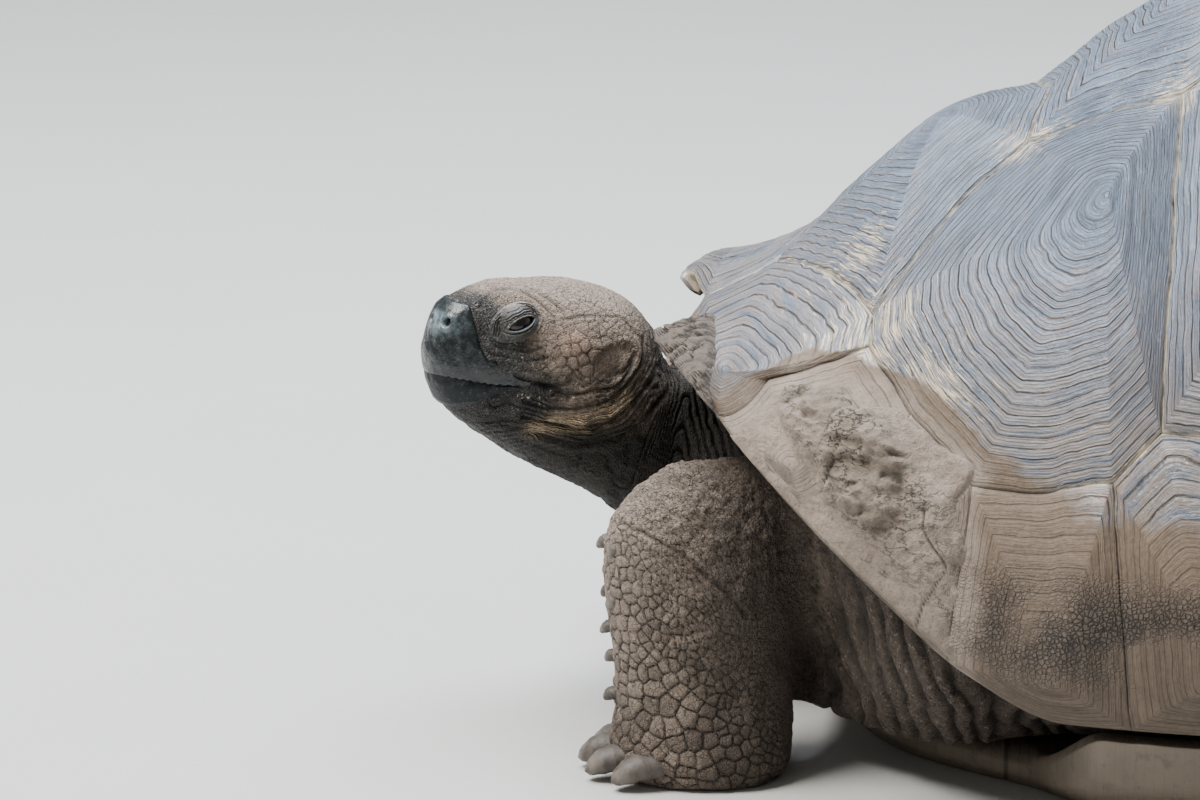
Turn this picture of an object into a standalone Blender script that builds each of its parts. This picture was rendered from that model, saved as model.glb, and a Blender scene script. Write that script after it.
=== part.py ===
"""A giant tortoise resting on its plastron, life size, built from separate closed solids.

The animal faces -Y, its left side is +X and it lies on the floor at z = 0.
The shell, the head and the limbs are laid out around the shell's centre, and the empty
"tortoise" carries them all, so that the origin ends up under the middle of the whole animal.
"""
import math

import bpy
import bmesh
import numpy as np
from mathutils import Vector

# ---- driving dimensions, in metres ------------------------------------------------------
SHELL_LENGTH = 1.10          # straight length of the carapace
SHELL_WIDTH = 0.83           # straight width of the carapace
SHELL_SHIFT = 0.0875         # how far the shell's centre sits behind the animal's middle
FRONT_ROUNDNESS = 2.35       # exponent of the plan outline, front half
REAR_ROUNDNESS = 2.6         # exponent of the plan outline, rear half
PLATE_THICKNESS = 0.016      # keratin and bone of one shell plate
PLATE_STEP = 0.078           # length of one facet along a seam
PLATE_DOME = 0.010           # how far a plate's growth centre stands up
RIM_DOME = 0.005             # the same on the plates of the rim
SEAM_GAP = 0.0012            # open seam between two plates
SEAM_BEVEL = 0.006           # width of the worn edge along a seam
SEAM_DEPTH = 0.003           # how far that edge falls away
BODY_CLEARANCE = 0.0065      # between the plates and the trunk under them
TOUCH_GAP = 0.0004           # between pieces of flesh that meet

PLASTRON_THICKNESS = 0.028
PLASTRON_FRONT, PLASTRON_REAR = -0.40, 0.43

HEAD_LENGTH = 0.187          # from the nape to the tip of the beak
HEAD_YAW = math.radians(27)  # turned to the animal's left
HEAD_PITCH = math.radians(10)
NAPE = Vector((0.0, -0.55, 0.253))
EYE_RADIUS = 0.0125
EYE_PLACE = (0.1335, 0.0345, 0.0205)   # along, beside and above the head's axis
MOUTH_LINE = -0.0225         # height of the closed mouth on the head's axis
MOUTH_CORNER = 0.112         # how far along the head the mouth ends
MOUTH_GAP = 0.0016

# the shell's height along its length: (place behind the shell's centre, height)
RIM_HEIGHT = [(-0.55, 0.286), (-0.52, 0.279), (-0.48, 0.247), (-0.44, 0.215), (-0.38, 0.168),
              (-0.32, 0.124), (-0.25, 0.097), (0.10, 0.100), (0.30, 0.120), (0.45, 0.142),
              (0.55, 0.130)]
CROWN_HEIGHT = [(-0.55, 0.286), (-0.50, 0.310), (-0.46, 0.333), (-0.40, 0.383), (-0.34, 0.430),
                (-0.28, 0.456), (-0.22, 0.497), (-0.12, 0.548), (0.05, 0.572), (0.22, 0.530),
                (0.36, 0.440), (0.47, 0.290), (0.55, 0.130)]
RIM_FLARE = [(-0.55, 0.30), (-0.42, 0.30), (-0.25, 0.12), (-0.10, 0.05), (0.20, 0.08),
             (0.40, 0.30), (0.55, 0.35)]

# seams of the left half of the shell, each place as (behind the centre, reach), where reach
# is the sideways distance as a share of the shell's half width
MIDLINE = [(-0.468, 0), (-0.270, 0), (-0.045, 0), (0.165, 0), (0.335, 0), (0.460, 0)]
VERTEBRAL_CORNERS = [(-0.285, 0.147), (-0.055, 0.165), (0.155, 0.160), (0.322, 0.125)]
COSTAL_TOPS = [(-0.390, 0.321), (-0.178, 0.240), (0.055, 0.250), (0.250, 0.225), (0.415, 0.300)]
COSTAL_FEET = [None, (-0.188, 0.651), (0.030, 0.655), (0.250, 0.620)]
MARGINAL_TOPS = [(-0.468, 0), (-0.392, 0.376), (-0.360, 0.505), (-0.315, 0.619), (-0.220, 0.678),
                 (-0.125, 0.700), (-0.020, 0.705), (0.090, 0.700), (0.190, 0.675), (0.320, 0.590),
                 (0.390, 0.450), (0.450, 0.190)]
RIM_STOPS = [-0.545, -0.500, -0.429, -0.332, -0.205, -0.105, 0.000, 0.110, 0.225, 0.345,
             0.450, 0.533]
NUCHAL_NOTCH = (-0.520, 0)
FRONT_SEAM_BEND = (-0.462, 0.348)      # where the seam behind the first rim plate turns out

SHARP_ANGLE = math.radians(40)
HALF_LENGTH = SHELL_LENGTH / 2
HALF_WIDTH = SHELL_WIDTH / 2


# ---- materials ---------------------------------------------------------------------------
def finish(name, colour, roughness):
    """A Principled material in one colour."""
    material = bpy.data.materials.new(name)
    material.use_nodes = True
    shader = material.node_tree.nodes["Principled BSDF"]
    shader.inputs["Base Color"].default_value = (*colour, 1)
    shader.inputs["Roughness"].default_value = roughness
    shader.inputs["Metallic"].default_value = 0.0
    material.diffuse_color = (*colour, 1)
    return material


# ---- curves and the shell's surface ------------------------------------------------------
def smooth_curve(stations):
    """A curve through (place, value) stations that doesn't overshoot between them."""
    places, values = np.array(stations, float).T
    steps = np.diff(places)
    slopes = np.diff(values) / steps
    tangents = np.zeros_like(values)
    tangents[0], tangents[-1] = slopes[0], slopes[-1]
    before, after = slopes[:-1], slopes[1:]
    same_way = before * after > 0
    tangents[1:-1][same_way] = (2 * before * after)[same_way] / (before + after)[same_way]

    def value_at(place):
        i = np.clip(np.searchsorted(places, place, side="right") - 1, 0, len(steps) - 1)
        t = (place - places[i]) / steps[i]
        return ((1 + 2 * t) * (1 - t) ** 2 * values[i] + t * (1 - t) ** 2 * steps[i] * tangents[i]
                + t * t * (3 - 2 * t) * values[i + 1] + t * t * (t - 1) * steps[i] * tangents[i + 1])

    return value_at


rim_height = smooth_curve(RIM_HEIGHT)
crown_height = smooth_curve(CROWN_HEIGHT)
rim_flare = smooth_curve(RIM_FLARE)


def half_width(y):
    """Half the shell's width at y."""
    power = FRONT_ROUNDNESS if y < 0 else REAR_ROUNDNESS
    return HALF_WIDTH * max(1 - abs(y / HALF_LENGTH) ** power, 0) ** (1 / power)


def rim_place(angle):
    """Seam place (y, reach) on the rim, angle running from 0 in front to pi behind."""
    forward, side = math.cos(angle), math.sin(angle)
    power = 2 / (FRONT_ROUNDNESS if forward > 0 else REAR_ROUNDNESS)
    y = -math.copysign(HALF_LENGTH * abs(forward) ** power, forward)
    return y, math.copysign(abs(side) ** power, side)


def rim_angle(y):
    """The angle whose rim place lies at y, on the left side."""
    power = FRONT_ROUNDNESS if y < 0 else REAR_ROUNDNESS
    return math.acos(-math.copysign(abs(y / HALF_LENGTH) ** (power / 2), y))


def outward(point):
    """Direction in which the shell grows thicker, away from the body's core."""
    return Vector((point.x, point.y * 0.5, point.z)).normalized()


def arch_point(y, turn):
    """Point of the shell's outer face, turn running from 0 on the crown to 1 at the rim."""
    angle = turn * math.pi / 2
    flare = rim_flare(y)
    rise = (1 - flare) * math.cos(angle) + flare * math.cos(angle) ** 2
    low, high = rim_height(y), crown_height(y)
    return Vector((half_width(y) * math.sin(angle), y, low + (high - low) * rise))


def shell_point(place, lift=0.0):
    """Point of the shell at a seam place, lifted outward from its plain surface."""
    y, reach = place
    width = max(half_width(y), 1e-4)
    turn = max(-1.0, min(1.0, reach * HALF_WIDTH / width))
    point = arch_point(y, turn)
    return point + outward(point) * lift


# ---- mesh helpers ------------------------------------------------------------------------
def keep(name, mesh, material):
    """Puts a finished mesh into the tortoise's collection, carried by its empty."""
    node = bpy.data.objects.new(name, mesh)
    mesh.materials.clear()
    mesh.materials.append(material)
    mesh.shade_smooth()
    mesh.set_sharp_from_angle(angle=SHARP_ANGLE)
    tortoise.objects.link(node)
    node.parent = carrier
    return node


def loft_mesh(name, rings, first_tip=None, last_tip=None):
    """Closed mesh through rings of equally many points, its ends closed flat or by a tip."""
    form = bmesh.new()
    loops = [[form.verts.new(point) for point in ring] for ring in rings]
    count = len(loops[0])
    for near, far in zip(loops, loops[1:]):
        for i in range(count):
            j = (i + 1) % count
            form.faces.new((near[i], near[j], far[j], far[i]))
    for loop, tip in ((loops[0], first_tip), (loops[-1], last_tip)):
        if tip is None:
            form.faces.new(loop)
            continue
        point = form.verts.new(tip)
        for i in range(count):
            form.faces.new((loop[i], loop[(i + 1) % count], point))
    bmesh.ops.recalc_face_normals(form, faces=form.faces)
    bmesh.ops.triangulate(form, faces=form.faces)     # so that a grown copy bends the same way
    mesh = bpy.data.meshes.new(name)
    form.to_mesh(mesh)
    form.free()
    return mesh


def combine(target, tool, operation):
    """Applies an exact Boolean of the tool's mesh to the target's mesh, and returns a new mesh."""
    held = bpy.data.objects.new("held", target)
    cutter = bpy.data.objects.new("cutter", tool)
    cutter.hide_render = True
    cutter.display_type = "WIRE"
    for item in (held, cutter):
        cutters.objects.link(item)
    step = held.modifiers.new("combine", "BOOLEAN")
    step.operation = operation
    step.solver = "EXACT"
    step.object = cutter
    bpy.context.view_layer.update()
    graph = bpy.context.evaluated_depsgraph_get()
    mesh = bpy.data.meshes.new_from_object(held.evaluated_get(graph))
    for item in (held, cutter):
        bpy.data.objects.remove(item)
    return mesh


def swollen(mesh, by):
    """A copy of a mesh grown outward by a small distance."""
    grown = mesh.copy()
    normals = [vertex.normal.copy() for vertex in grown.vertices]
    for vertex, normal in zip(grown.vertices, normals):
        vertex.co += normal * by
    return grown


def oval(centre, side, up, half_side, half_up, count, squareness=2.0, half_down=None):
    """Ring of points round a centre, wider than a circle at its corners if squareness > 2."""
    ring = []
    for i in range(count):
        angle = 2 * math.pi * i / count
        across, along = math.cos(angle), math.sin(angle)
        power = 2 / squareness
        x = math.copysign(abs(across) ** power, across) * half_side
        height = half_up if along >= 0 or half_down is None else half_down
        z = math.copysign(abs(along) ** power, along) * height
        ring.append(centre + side * x + up * z)
    return ring


def path_rings(stations, count, side=Vector((1, 0, 0)), squareness=2.2):
    """Rings across a path of (centre, half width, half height) stations."""
    centres = [Vector(centre) for centre, _, _ in stations]
    rings = []
    for i, (_, half_side, half_up) in enumerate(stations):
        run = (centres[min(i + 1, len(centres) - 1)] - centres[max(i - 1, 0)]).normalized()
        up = side.cross(run).normalized()
        across = run.cross(up).normalized()
        rings.append(oval(centres[i], across, up, half_side, half_up, count, squareness))
    return rings


# ---- shell plates ------------------------------------------------------------------------
def edge_places(start, end, segments):
    """Places along one edge of a plate, the end left out; rim edges follow the rim."""
    places = []
    for i in range(segments):
        share = i / segments
        if len(start) == 1 and len(end) == 1:
            places.append(rim_place(start[0] + (end[0] - start[0]) * share))
        else:
            a = start if len(start) == 2 else rim_place(start[0])
            b = end if len(end) == 2 else rim_place(end[0])
            places.append((a[0] + (b[0] - a[0]) * share, a[1] + (b[1] - a[1]) * share))
    return places


def plate(name, centre, corners, dome, material, side=1):
    """One shell plate: rings of points grow from its growth centre out to its seams.

    A corner is (y, reach), or (angle,) where it lies on the rim.
    """
    outline = []
    for start, end in zip(corners, corners[1:] + corners[:1]):
        ends = [corner if len(corner) == 2 else rim_place(corner[0]) for corner in (start, end)]
        length = (shell_point(ends[0]) - shell_point(ends[1])).length
        outline += edge_places(start, end, max(1, round(length / PLATE_STEP)))
    middle = shell_point(centre)
    spread = min((shell_point(place) - middle).length for place in outline)
    worn = 1 - SEAM_BEVEL / spread

    def ring(share, lift):
        points = []
        for y, reach in outline:
            place = (centre[0] + (y - centre[0]) * share, centre[1] + (reach - centre[1]) * share)
            points.append(shell_point(place, lift))
        return points

    top_edge, low_edge = ring(1, -SEAM_DEPTH), ring(1, -PLATE_THICKNESS)
    for edge, inner in ((top_edge, ring(worn, 0)), (low_edge, ring(worn, -PLATE_THICKNESS))):
        for i, point in enumerate(edge):
            edge[i] = point + (inner[i] - point).normalized() * SEAM_GAP / 2
    rings = [ring(0.5, dome * 0.75), ring(worn, 0), top_edge, low_edge,
             ring(0.5, -PLATE_THICKNESS)]
    first, last = shell_point(centre, dome), shell_point(centre, -PLATE_THICKNESS)
    if side < 0:
        rings = [[Vector((-point.x, point.y, point.z)) for point in loop] for loop in rings]
        first.x, last.x = -first.x, -last.x
    mesh = loft_mesh(name, rings, first, last)
    return keep(name, mesh, material)


def mirrored(places):
    """The same places on the other half, in reverse order."""
    return [(y, -reach) for y, reach in reversed(places)]


def average(corners):
    """Middle of a plate's corners."""
    places = [corner if len(corner) == 2 else rim_place(corner[0]) for corner in corners]
    return tuple(sum(values) / len(places) for values in zip(*places))


def make_vertebrals(material):
    """The five plates along the back."""
    growth_centres = [-0.345, -0.150, 0.065, 0.260, 0.385]
    for i, growth in enumerate(growth_centres):
        half = [COSTAL_TOPS[i]]
        if i > 0:
            half.insert(0, VERTEBRAL_CORNERS[i - 1])
        half.append(VERTEBRAL_CORNERS[i] if i < 4 else MARGINAL_TOPS[11])
        corners = [MIDLINE[i]] + half + [MIDLINE[i + 1]] + mirrored(half)
        plate(f"vertebral_{i + 1}", (growth, 0), corners, PLATE_DOME, material)


def costal_corners(i):
    """Corners of costal plate i, counted from 0 in front, down its seams and back up."""
    fronts = [MARGINAL_TOPS[2:0:-1], [COSTAL_FEET[1]], [COSTAL_FEET[2]], [COSTAL_FEET[3]]][i]
    feet = [MARGINAL_TOPS[4:2:-1], MARGINAL_TOPS[6:4:-1], MARGINAL_TOPS[8:6:-1],
            MARGINAL_TOPS[10:8:-1]][i]
    heel = [COSTAL_FEET[i + 1]] if i < 3 else []
    return [COSTAL_TOPS[i], VERTEBRAL_CORNERS[i], COSTAL_TOPS[i + 1]] + heel + feet + fronts


def make_costals(material):
    """The four broad plates down each flank."""
    growth_centres = [(-0.225, 0.350), (-0.055, 0.395), (0.160, 0.380), (0.310, 0.335)]
    for side, word in ((1, "left"), (-1, "right")):
        for i, growth in enumerate(growth_centres):
            plate(f"costal_{word}_{i + 1}", growth, costal_corners(i), PLATE_DOME, material, side)


def marginal_corners(i):
    """Corners of rim plate i, counted from 0 in front, top edge first."""
    peaks = {0: COSTAL_TOPS[0], 4: COSTAL_FEET[1], 6: COSTAL_FEET[2], 8: COSTAL_FEET[3],
             10: COSTAL_TOPS[4]}
    top = [MARGINAL_TOPS[i]] + ([peaks[i]] if i in peaks else []) + [MARGINAL_TOPS[i + 1]]
    rim = [(rim_angle(RIM_STOPS[i + 1]),), (rim_angle(RIM_STOPS[i]),)]
    if i == 0:
        return top + [FRONT_SEAM_BEND] + rim + [NUCHAL_NOTCH]
    return top + rim + ([FRONT_SEAM_BEND] if i == 1 else [])


def make_marginals(material):
    """Eleven rim plates on each side, and the single one over the tail."""
    for side, word in ((1, "left"), (-1, "right")):
        for i in range(11):
            corners = marginal_corners(i)
            plate(f"marginal_{word}_{i + 1}", average(corners), corners, RIM_DOME, material, side)
    last_stop = rim_angle(RIM_STOPS[11])
    corners = [MIDLINE[5], MARGINAL_TOPS[11], (last_stop,), (2 * math.pi - last_stop,),
               (MARGINAL_TOPS[11][0], -MARGINAL_TOPS[11][1])]
    plate("supracaudal", (0.500, 0), corners, RIM_DOME, material)


# ---- plastron ----------------------------------------------------------------------------
def make_plastron(material):
    """The flat belly plate, whose two bridges rise to the shell's lower edge at each flank."""
    flat_half = smooth_curve([(PLASTRON_FRONT, 0.085), (-0.36, 0.150), (-0.28, 0.215), (-0.20, 0.265),
                              (0.00, 0.280), (0.20, 0.255), (0.28, 0.190), (0.36, 0.135),
                              (PLASTRON_REAR, 0.090)])
    wing_share = smooth_curve([(PLASTRON_FRONT, 0.0), (-0.270, 0.0), (-0.230, 1.0), (0.225, 1.0),
                               (0.265, 0.0), (PLASTRON_REAR, 0.0)])
    stations = [PLASTRON_FRONT, -0.385, -0.34, -0.27, -0.25, -0.23, -0.15, -0.05, 0.06, 0.15,
                0.225, 0.245, 0.265, 0.33, 0.40, PLASTRON_REAR]
    rings = []
    for y in stations:
        flat, share = flat_half(y), wing_share(y)
        lip, rim = half_width(y), rim_height(y)
        # from the middle of the belly outward, then back over the upper face
        plain = [(0, 0), (flat * 0.6, 0), (flat, 0), (flat + 0.012, 0.005), (flat + 0.018, 0.012),
                 (flat + 0.018, 0.018), (flat + 0.012, 0.024), (flat - 0.010, PLASTRON_THICKNESS),
                 (flat * 0.5, PLASTRON_THICKNESS), (0, PLASTRON_THICKNESS)]
        winged = [(0, 0), (flat * 0.6, 0), (flat, 0), (flat + 0.050, 0.016),
                  (lip - 0.022, rim - 0.046), (lip - 0.005, rim - 0.010), (lip - 0.030, rim - 0.011),
                  (flat - 0.004, PLASTRON_THICKNESS), (flat * 0.5, PLASTRON_THICKNESS),
                  (0, PLASTRON_THICKNESS)]
        half = [(a[0] + (b[0] - a[0]) * share, a[1] + (b[1] - a[1]) * share)
                for a, b in zip(plain, winged)]
        loop = half + [(-x, z) for x, z in reversed(half[1:-1])]
        rings.append([Vector((x, y, z)) for x, z in loop])
    return keep("plastron", loft_mesh("plastron", rings), material)


# ---- flesh -------------------------------------------------------------------------------
def trunk_mesh():
    """The body inside the shell, closed by skin in front and behind."""
    arch_turns = [-0.84, -0.7, -0.5, -0.25, 0.0, 0.25, 0.5, 0.7, 0.84]
    inset = smooth_curve([(-0.44, 0.050), (-0.34, 0.050), (-0.29, 0.105), (0.29, 0.105),
                          (0.34, 0.050), (0.46, 0.050)])
    belly = smooth_curve([(-0.44, 0.150), (-0.38, 0.220), (-0.32, 0.240), (-0.25, 0.205),
                          (0.22, 0.205), (0.30, 0.210), (0.38, 0.200), (0.46, 0.130)])
    floor = PLASTRON_THICKNESS + 0.003
    depth = PLATE_THICKNESS + BODY_CLEARANCE
    rings = []
    for y in (-0.44, -0.40, -0.34, -0.29, -0.20, -0.10, 0.0, 0.10, 0.20, 0.29, 0.34, 0.41, 0.46):
        ring = []
        for turn in arch_turns:
            point = arch_point(y, turn)
            ring.append(point - outward(point) * depth)
        wall = half_width(y) - inset(y)
        low = (rim_height(y) + floor) / 2
        for x, z in ((wall, low), (belly(y), floor), (belly(y) * 0.4, floor)):
            ring.append(Vector((x, y, z)))
        ring += [Vector((-point.x, point.y, point.z)) for point in reversed(ring[-3:])]
        rings.append(ring)
    front, rear = [], []
    for source, target, slide in ((rings[0], front, -0.018), (rings[-1], rear, 0.012)):
        middle = sum(source, Vector()) / len(source)
        for point in source:
            shrunk = middle + (point - middle) * 0.72
            target.append(shrunk + Vector((0, slide, 0)))
    return loft_mesh("trunk", [front] + rings + [rear])


def head_axes():
    """The head's forward, left and up directions."""
    forward = Vector((math.sin(HEAD_YAW) * math.cos(HEAD_PITCH),
                      -math.cos(HEAD_YAW) * math.cos(HEAD_PITCH), math.sin(HEAD_PITCH)))
    left = Vector((math.cos(HEAD_YAW), math.sin(HEAD_YAW), 0))
    return forward, left, forward.cross(left)


def head_point(along, beside, above):
    """A point given along, beside and above the head's axis."""
    forward, left, up = head_axes()
    return NAPE + forward * along + left * beside + up * above


# half width, top and underside of the head at places along its axis, nape to beak
HEAD_SECTIONS = [(0.016, 0.0500, 0.0230, -0.1160), (0.036, 0.0595, 0.0420, -0.1070),
                 (0.058, 0.0640, 0.0495, -0.0990), (0.080, 0.0620, 0.0515, -0.0930),
                 (0.100, 0.0565, 0.0515, -0.0860), (0.118, 0.0500, 0.0485, -0.0770),
                 (0.133, 0.0445, 0.0460, -0.0690), (0.146, 0.0390, 0.0440, -0.0625),
                 (0.159, 0.0335, 0.0405, -0.0560), (0.1705, 0.0280, 0.0355, -0.0450),
                 (0.179, 0.0220, 0.0285, -0.0320), (0.1845, 0.0155, 0.0180, -0.0230)]
HEAD_SIDES = 20


def head_ring(along, half_side, top, bottom):
    """One section across the head."""
    _, left, up = head_axes()
    middle = (top + bottom) / 2
    half = (top - bottom) / 2
    return oval(head_point(along, 0, middle), left, up, half_side, half, HEAD_SIDES, 2.35)


def head_mesh():
    """Skull, beak and jaws in one piece, before the mouth is cut."""
    rings = [head_ring(*section) for section in HEAD_SECTIONS]
    return loft_mesh("head", rings, last_tip=head_point(HEAD_LENGTH, 0, -0.003))


def jaw_wedge(spare):
    """The block in front of and below the mouth line that holds the lower jaw."""
    top = MOUTH_LINE - MOUTH_GAP / 2 - spare
    profile = [(0.25, top), (MOUTH_CORNER + spare, top), (0.088 + spare, -0.075),
               (0.088 + spare, -0.20), (0.25, -0.20)]
    rings = [[head_point(along, beside, above) for along, above in profile]
             for beside in (-0.1, 0.1)]
    return loft_mesh("jaw_wedge", rings)


def ball_mesh(centre, radius):
    """A round eyeball."""
    form = bmesh.new()
    bmesh.ops.create_uvsphere(form, u_segments=14, v_segments=9, radius=radius)
    bmesh.ops.translate(form, vec=centre, verts=form.verts)
    mesh = bpy.data.meshes.new("eye")
    form.to_mesh(mesh)
    form.free()
    return mesh


def make_head(skin, horn, eye_gloss):
    """Head, lower jaw and the two eyes in their sockets."""
    whole = head_mesh()
    jaw = combine(whole.copy(), jaw_wedge(MOUTH_GAP / 2), "INTERSECT")
    head = combine(whole, jaw_wedge(-MOUTH_GAP / 2), "DIFFERENCE")
    along, beside, above = EYE_PLACE
    for side, word in ((1, "left"), (-1, "right")):
        centre = head_point(along, beside * side, above)
        head = combine(head, ball_mesh(centre, EYE_RADIUS + TOUCH_GAP * 2), "DIFFERENCE")
        keep(f"eye_{word}", ball_mesh(centre, EYE_RADIUS), eye_gloss)
    keep("head", head, skin)
    keep("lower_jaw", jaw, horn)


def make_neck(trunk, skin):
    """The thick neck, drawn back and down into the shell."""
    forward, _, _ = head_axes()
    joint = [point - forward * TOUCH_GAP for point in head_ring(*HEAD_SECTIONS[0])]
    stations = [((0.010, -0.570, 0.217), 0.058, 0.076), ((0.006, -0.535, 0.185), 0.054, 0.070),
                ((0.002, -0.490, 0.168), 0.066, 0.080), ((0.000, -0.440, 0.156), 0.074, 0.086),
                ((0.000, -0.390, 0.155), 0.078, 0.088)]
    rings = path_rings(stations, HEAD_SIDES, squareness=2.35)[1:]
    neck = loft_mesh("neck", [joint] + rings)
    keep("neck", combine(neck, swollen(trunk, TOUCH_GAP), "DIFFERENCE"), skin)


def column_rings(stations, count=14):
    """Level rings of a standing limb: (height, x, y, half width, half length)."""
    return [oval(Vector((x, y, z)), Vector((1, 0, 0)), Vector((0, 1, 0)), wide, long, count, 2.3)
            for z, x, y, wide, long in stations]


def claw_mesh(root, tip, radius):
    """A blunt claw from its root to its tip."""
    run = Vector(tip) - Vector(root)
    side = run.cross(Vector((0, 0, 1))).normalized()
    up = side.cross(run).normalized()
    rings = [oval(Vector(root) + run * share, side, up, radius * wide, radius * wide * 0.8, 8)
             for share, wide in ((0, 1.0), (0.55, 0.8))]
    return loft_mesh("claw", rings, last_tip=Vector(tip))


def mirror_mesh(mesh):
    """The same mesh on the right side."""
    form = bmesh.new()
    form.from_mesh(mesh)
    for vertex in form.verts:
        vertex.co.x = -vertex.co.x
    bmesh.ops.reverse_faces(form, faces=form.faces)
    other = bpy.data.meshes.new(mesh.name)
    form.to_mesh(other)
    form.free()
    return other


def make_limb(name, column, crown, arm, claws, trunk, skin):
    """A leg: an upright pillar on its sole, joined to the part that goes up into the shell."""
    limb = loft_mesh(name, column_rings(column), last_tip=Vector(crown))
    limb = combine(limb, loft_mesh("arm", path_rings(arm, 14)), "UNION")
    for root, tip, radius in claws:
        limb = combine(limb, claw_mesh(root, tip, radius), "UNION")
    for form, word in ((limb, "left"), (mirror_mesh(limb), "right")):
        keep(f"{name}_{word}", combine(form, swollen(trunk, TOUCH_GAP), "DIFFERENCE"), skin)


def make_forelegs(trunk, skin):
    """Forelegs folded beside the neck, elbow up and forearm standing on its foot."""
    column = [(0.000, 0.203, -0.507, 0.056, 0.063), (0.014, 0.203, -0.507, 0.060, 0.067),
              (0.050, 0.202, -0.505, 0.055, 0.065), (0.090, 0.201, -0.508, 0.052, 0.065),
              (0.130, 0.200, -0.511, 0.053, 0.0665), (0.167, 0.199, -0.512, 0.053, 0.067),
              (0.195, 0.198, -0.512, 0.048, 0.055), (0.215, 0.197, -0.510, 0.036, 0.037),
              (0.226, 0.197, -0.509, 0.019, 0.020)]
    arm = [((0.196, -0.505, 0.160), 0.044, 0.056), ((0.186, -0.450, 0.155), 0.048, 0.058),
           ((0.172, -0.395, 0.150), 0.052, 0.060), ((0.160, -0.345, 0.148), 0.052, 0.060)]
    claws = []
    for i in range(5):
        turn = math.radians(-60 + 30 * i)
        x, y = 0.203 + 0.050 * math.sin(turn), -0.507 - 0.056 * math.cos(turn)
        root = (x, y, 0.017)
        tip = (x + 0.014 * math.sin(turn), y - 0.036, 0.006)
        claws.append((root, tip, 0.0125))
    make_limb("foreleg", column, (0.197, -0.509, 0.229), arm, claws, trunk, skin)


def make_hindlegs(trunk, skin):
    """Hind legs folded under the rear rim, standing on their broad round feet."""
    column = [(0.000, 0.235, 0.392, 0.058, 0.062), (0.014, 0.235, 0.392, 0.061, 0.065),
              (0.045, 0.233, 0.390, 0.057, 0.061), (0.075, 0.229, 0.384, 0.054, 0.058),
              (0.098, 0.222, 0.374, 0.045, 0.050), (0.114, 0.216, 0.365, 0.028, 0.032)]
    arm = [((0.222, 0.372, 0.072), 0.042, 0.038), ((0.205, 0.330, 0.082), 0.048, 0.042),
           ((0.185, 0.290, 0.090), 0.048, 0.042)]
    claws = []
    for i in range(4):
        turn = math.radians(-50 + 32 * i)
        x, y = 0.235 + 0.054 * math.cos(turn), 0.392 + 0.056 * math.sin(turn)
        root = (x, y, 0.016)
        tip = (x + 0.030 * math.cos(turn), y + 0.022 * math.sin(turn), 0.006)
        claws.append((root, tip, 0.0115))
    make_limb("hindleg", column, (0.213, 0.361, 0.118), arm, claws, trunk, skin)


def make_tail(trunk, skin):
    """The short tail, laid to one side under the rear rim."""
    stations = [((0.000, 0.430, 0.085), 0.042, 0.034), ((0.008, 0.470, 0.076), 0.034, 0.028),
                ((0.026, 0.500, 0.062), 0.024, 0.021), ((0.050, 0.515, 0.048), 0.014, 0.013)]
    tail = loft_mesh("tail", path_rings(stations, 12), last_tip=Vector((0.072, 0.519, 0.038)))
    keep("tail", combine(tail, swollen(trunk, TOUCH_GAP), "DIFFERENCE"), skin)


# ---- assembly ----------------------------------------------------------------------------
for leftover in list(bpy.data.objects):
    bpy.data.objects.remove(leftover)

tortoise = bpy.data.collections.new("giant_tortoise")
cutters = bpy.data.collections.new("cutters")
for collection in (tortoise, cutters):
    bpy.context.scene.collection.children.link(collection)

carrier = bpy.data.objects.new("tortoise", None)
carrier.location = (0, SHELL_SHIFT, 0)
tortoise.objects.link(carrier)

shell_finish = finish("shell_plate", (0.20, 0.19, 0.19), 0.55)
rim_finish = finish("rim_plate", (0.24, 0.20, 0.17), 0.70)
belly_finish = finish("belly_plate", (0.16, 0.13, 0.10), 0.70)
skin_finish = finish("skin", (0.19, 0.15, 0.13), 0.75)
horn_finish = finish("horn", (0.03, 0.03, 0.035), 0.35)
eye_finish = finish("eye", (0.01, 0.01, 0.012), 0.10)

make_vertebrals(shell_finish)
make_costals(shell_finish)
make_marginals(rim_finish)
make_plastron(belly_finish)

trunk_form = trunk_mesh()
make_head(skin_finish, horn_finish, eye_finish)
make_neck(trunk_form, skin_finish)
make_forelegs(trunk_form, skin_finish)
make_hindlegs(trunk_form, skin_finish)
make_tail(trunk_form, skin_finish)
keep("trunk", trunk_form, skin_finish)
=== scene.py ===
import math

import bmesh
import bpy
import numpy as np
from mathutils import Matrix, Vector
from mathutils.kdtree import KDTree


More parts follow.
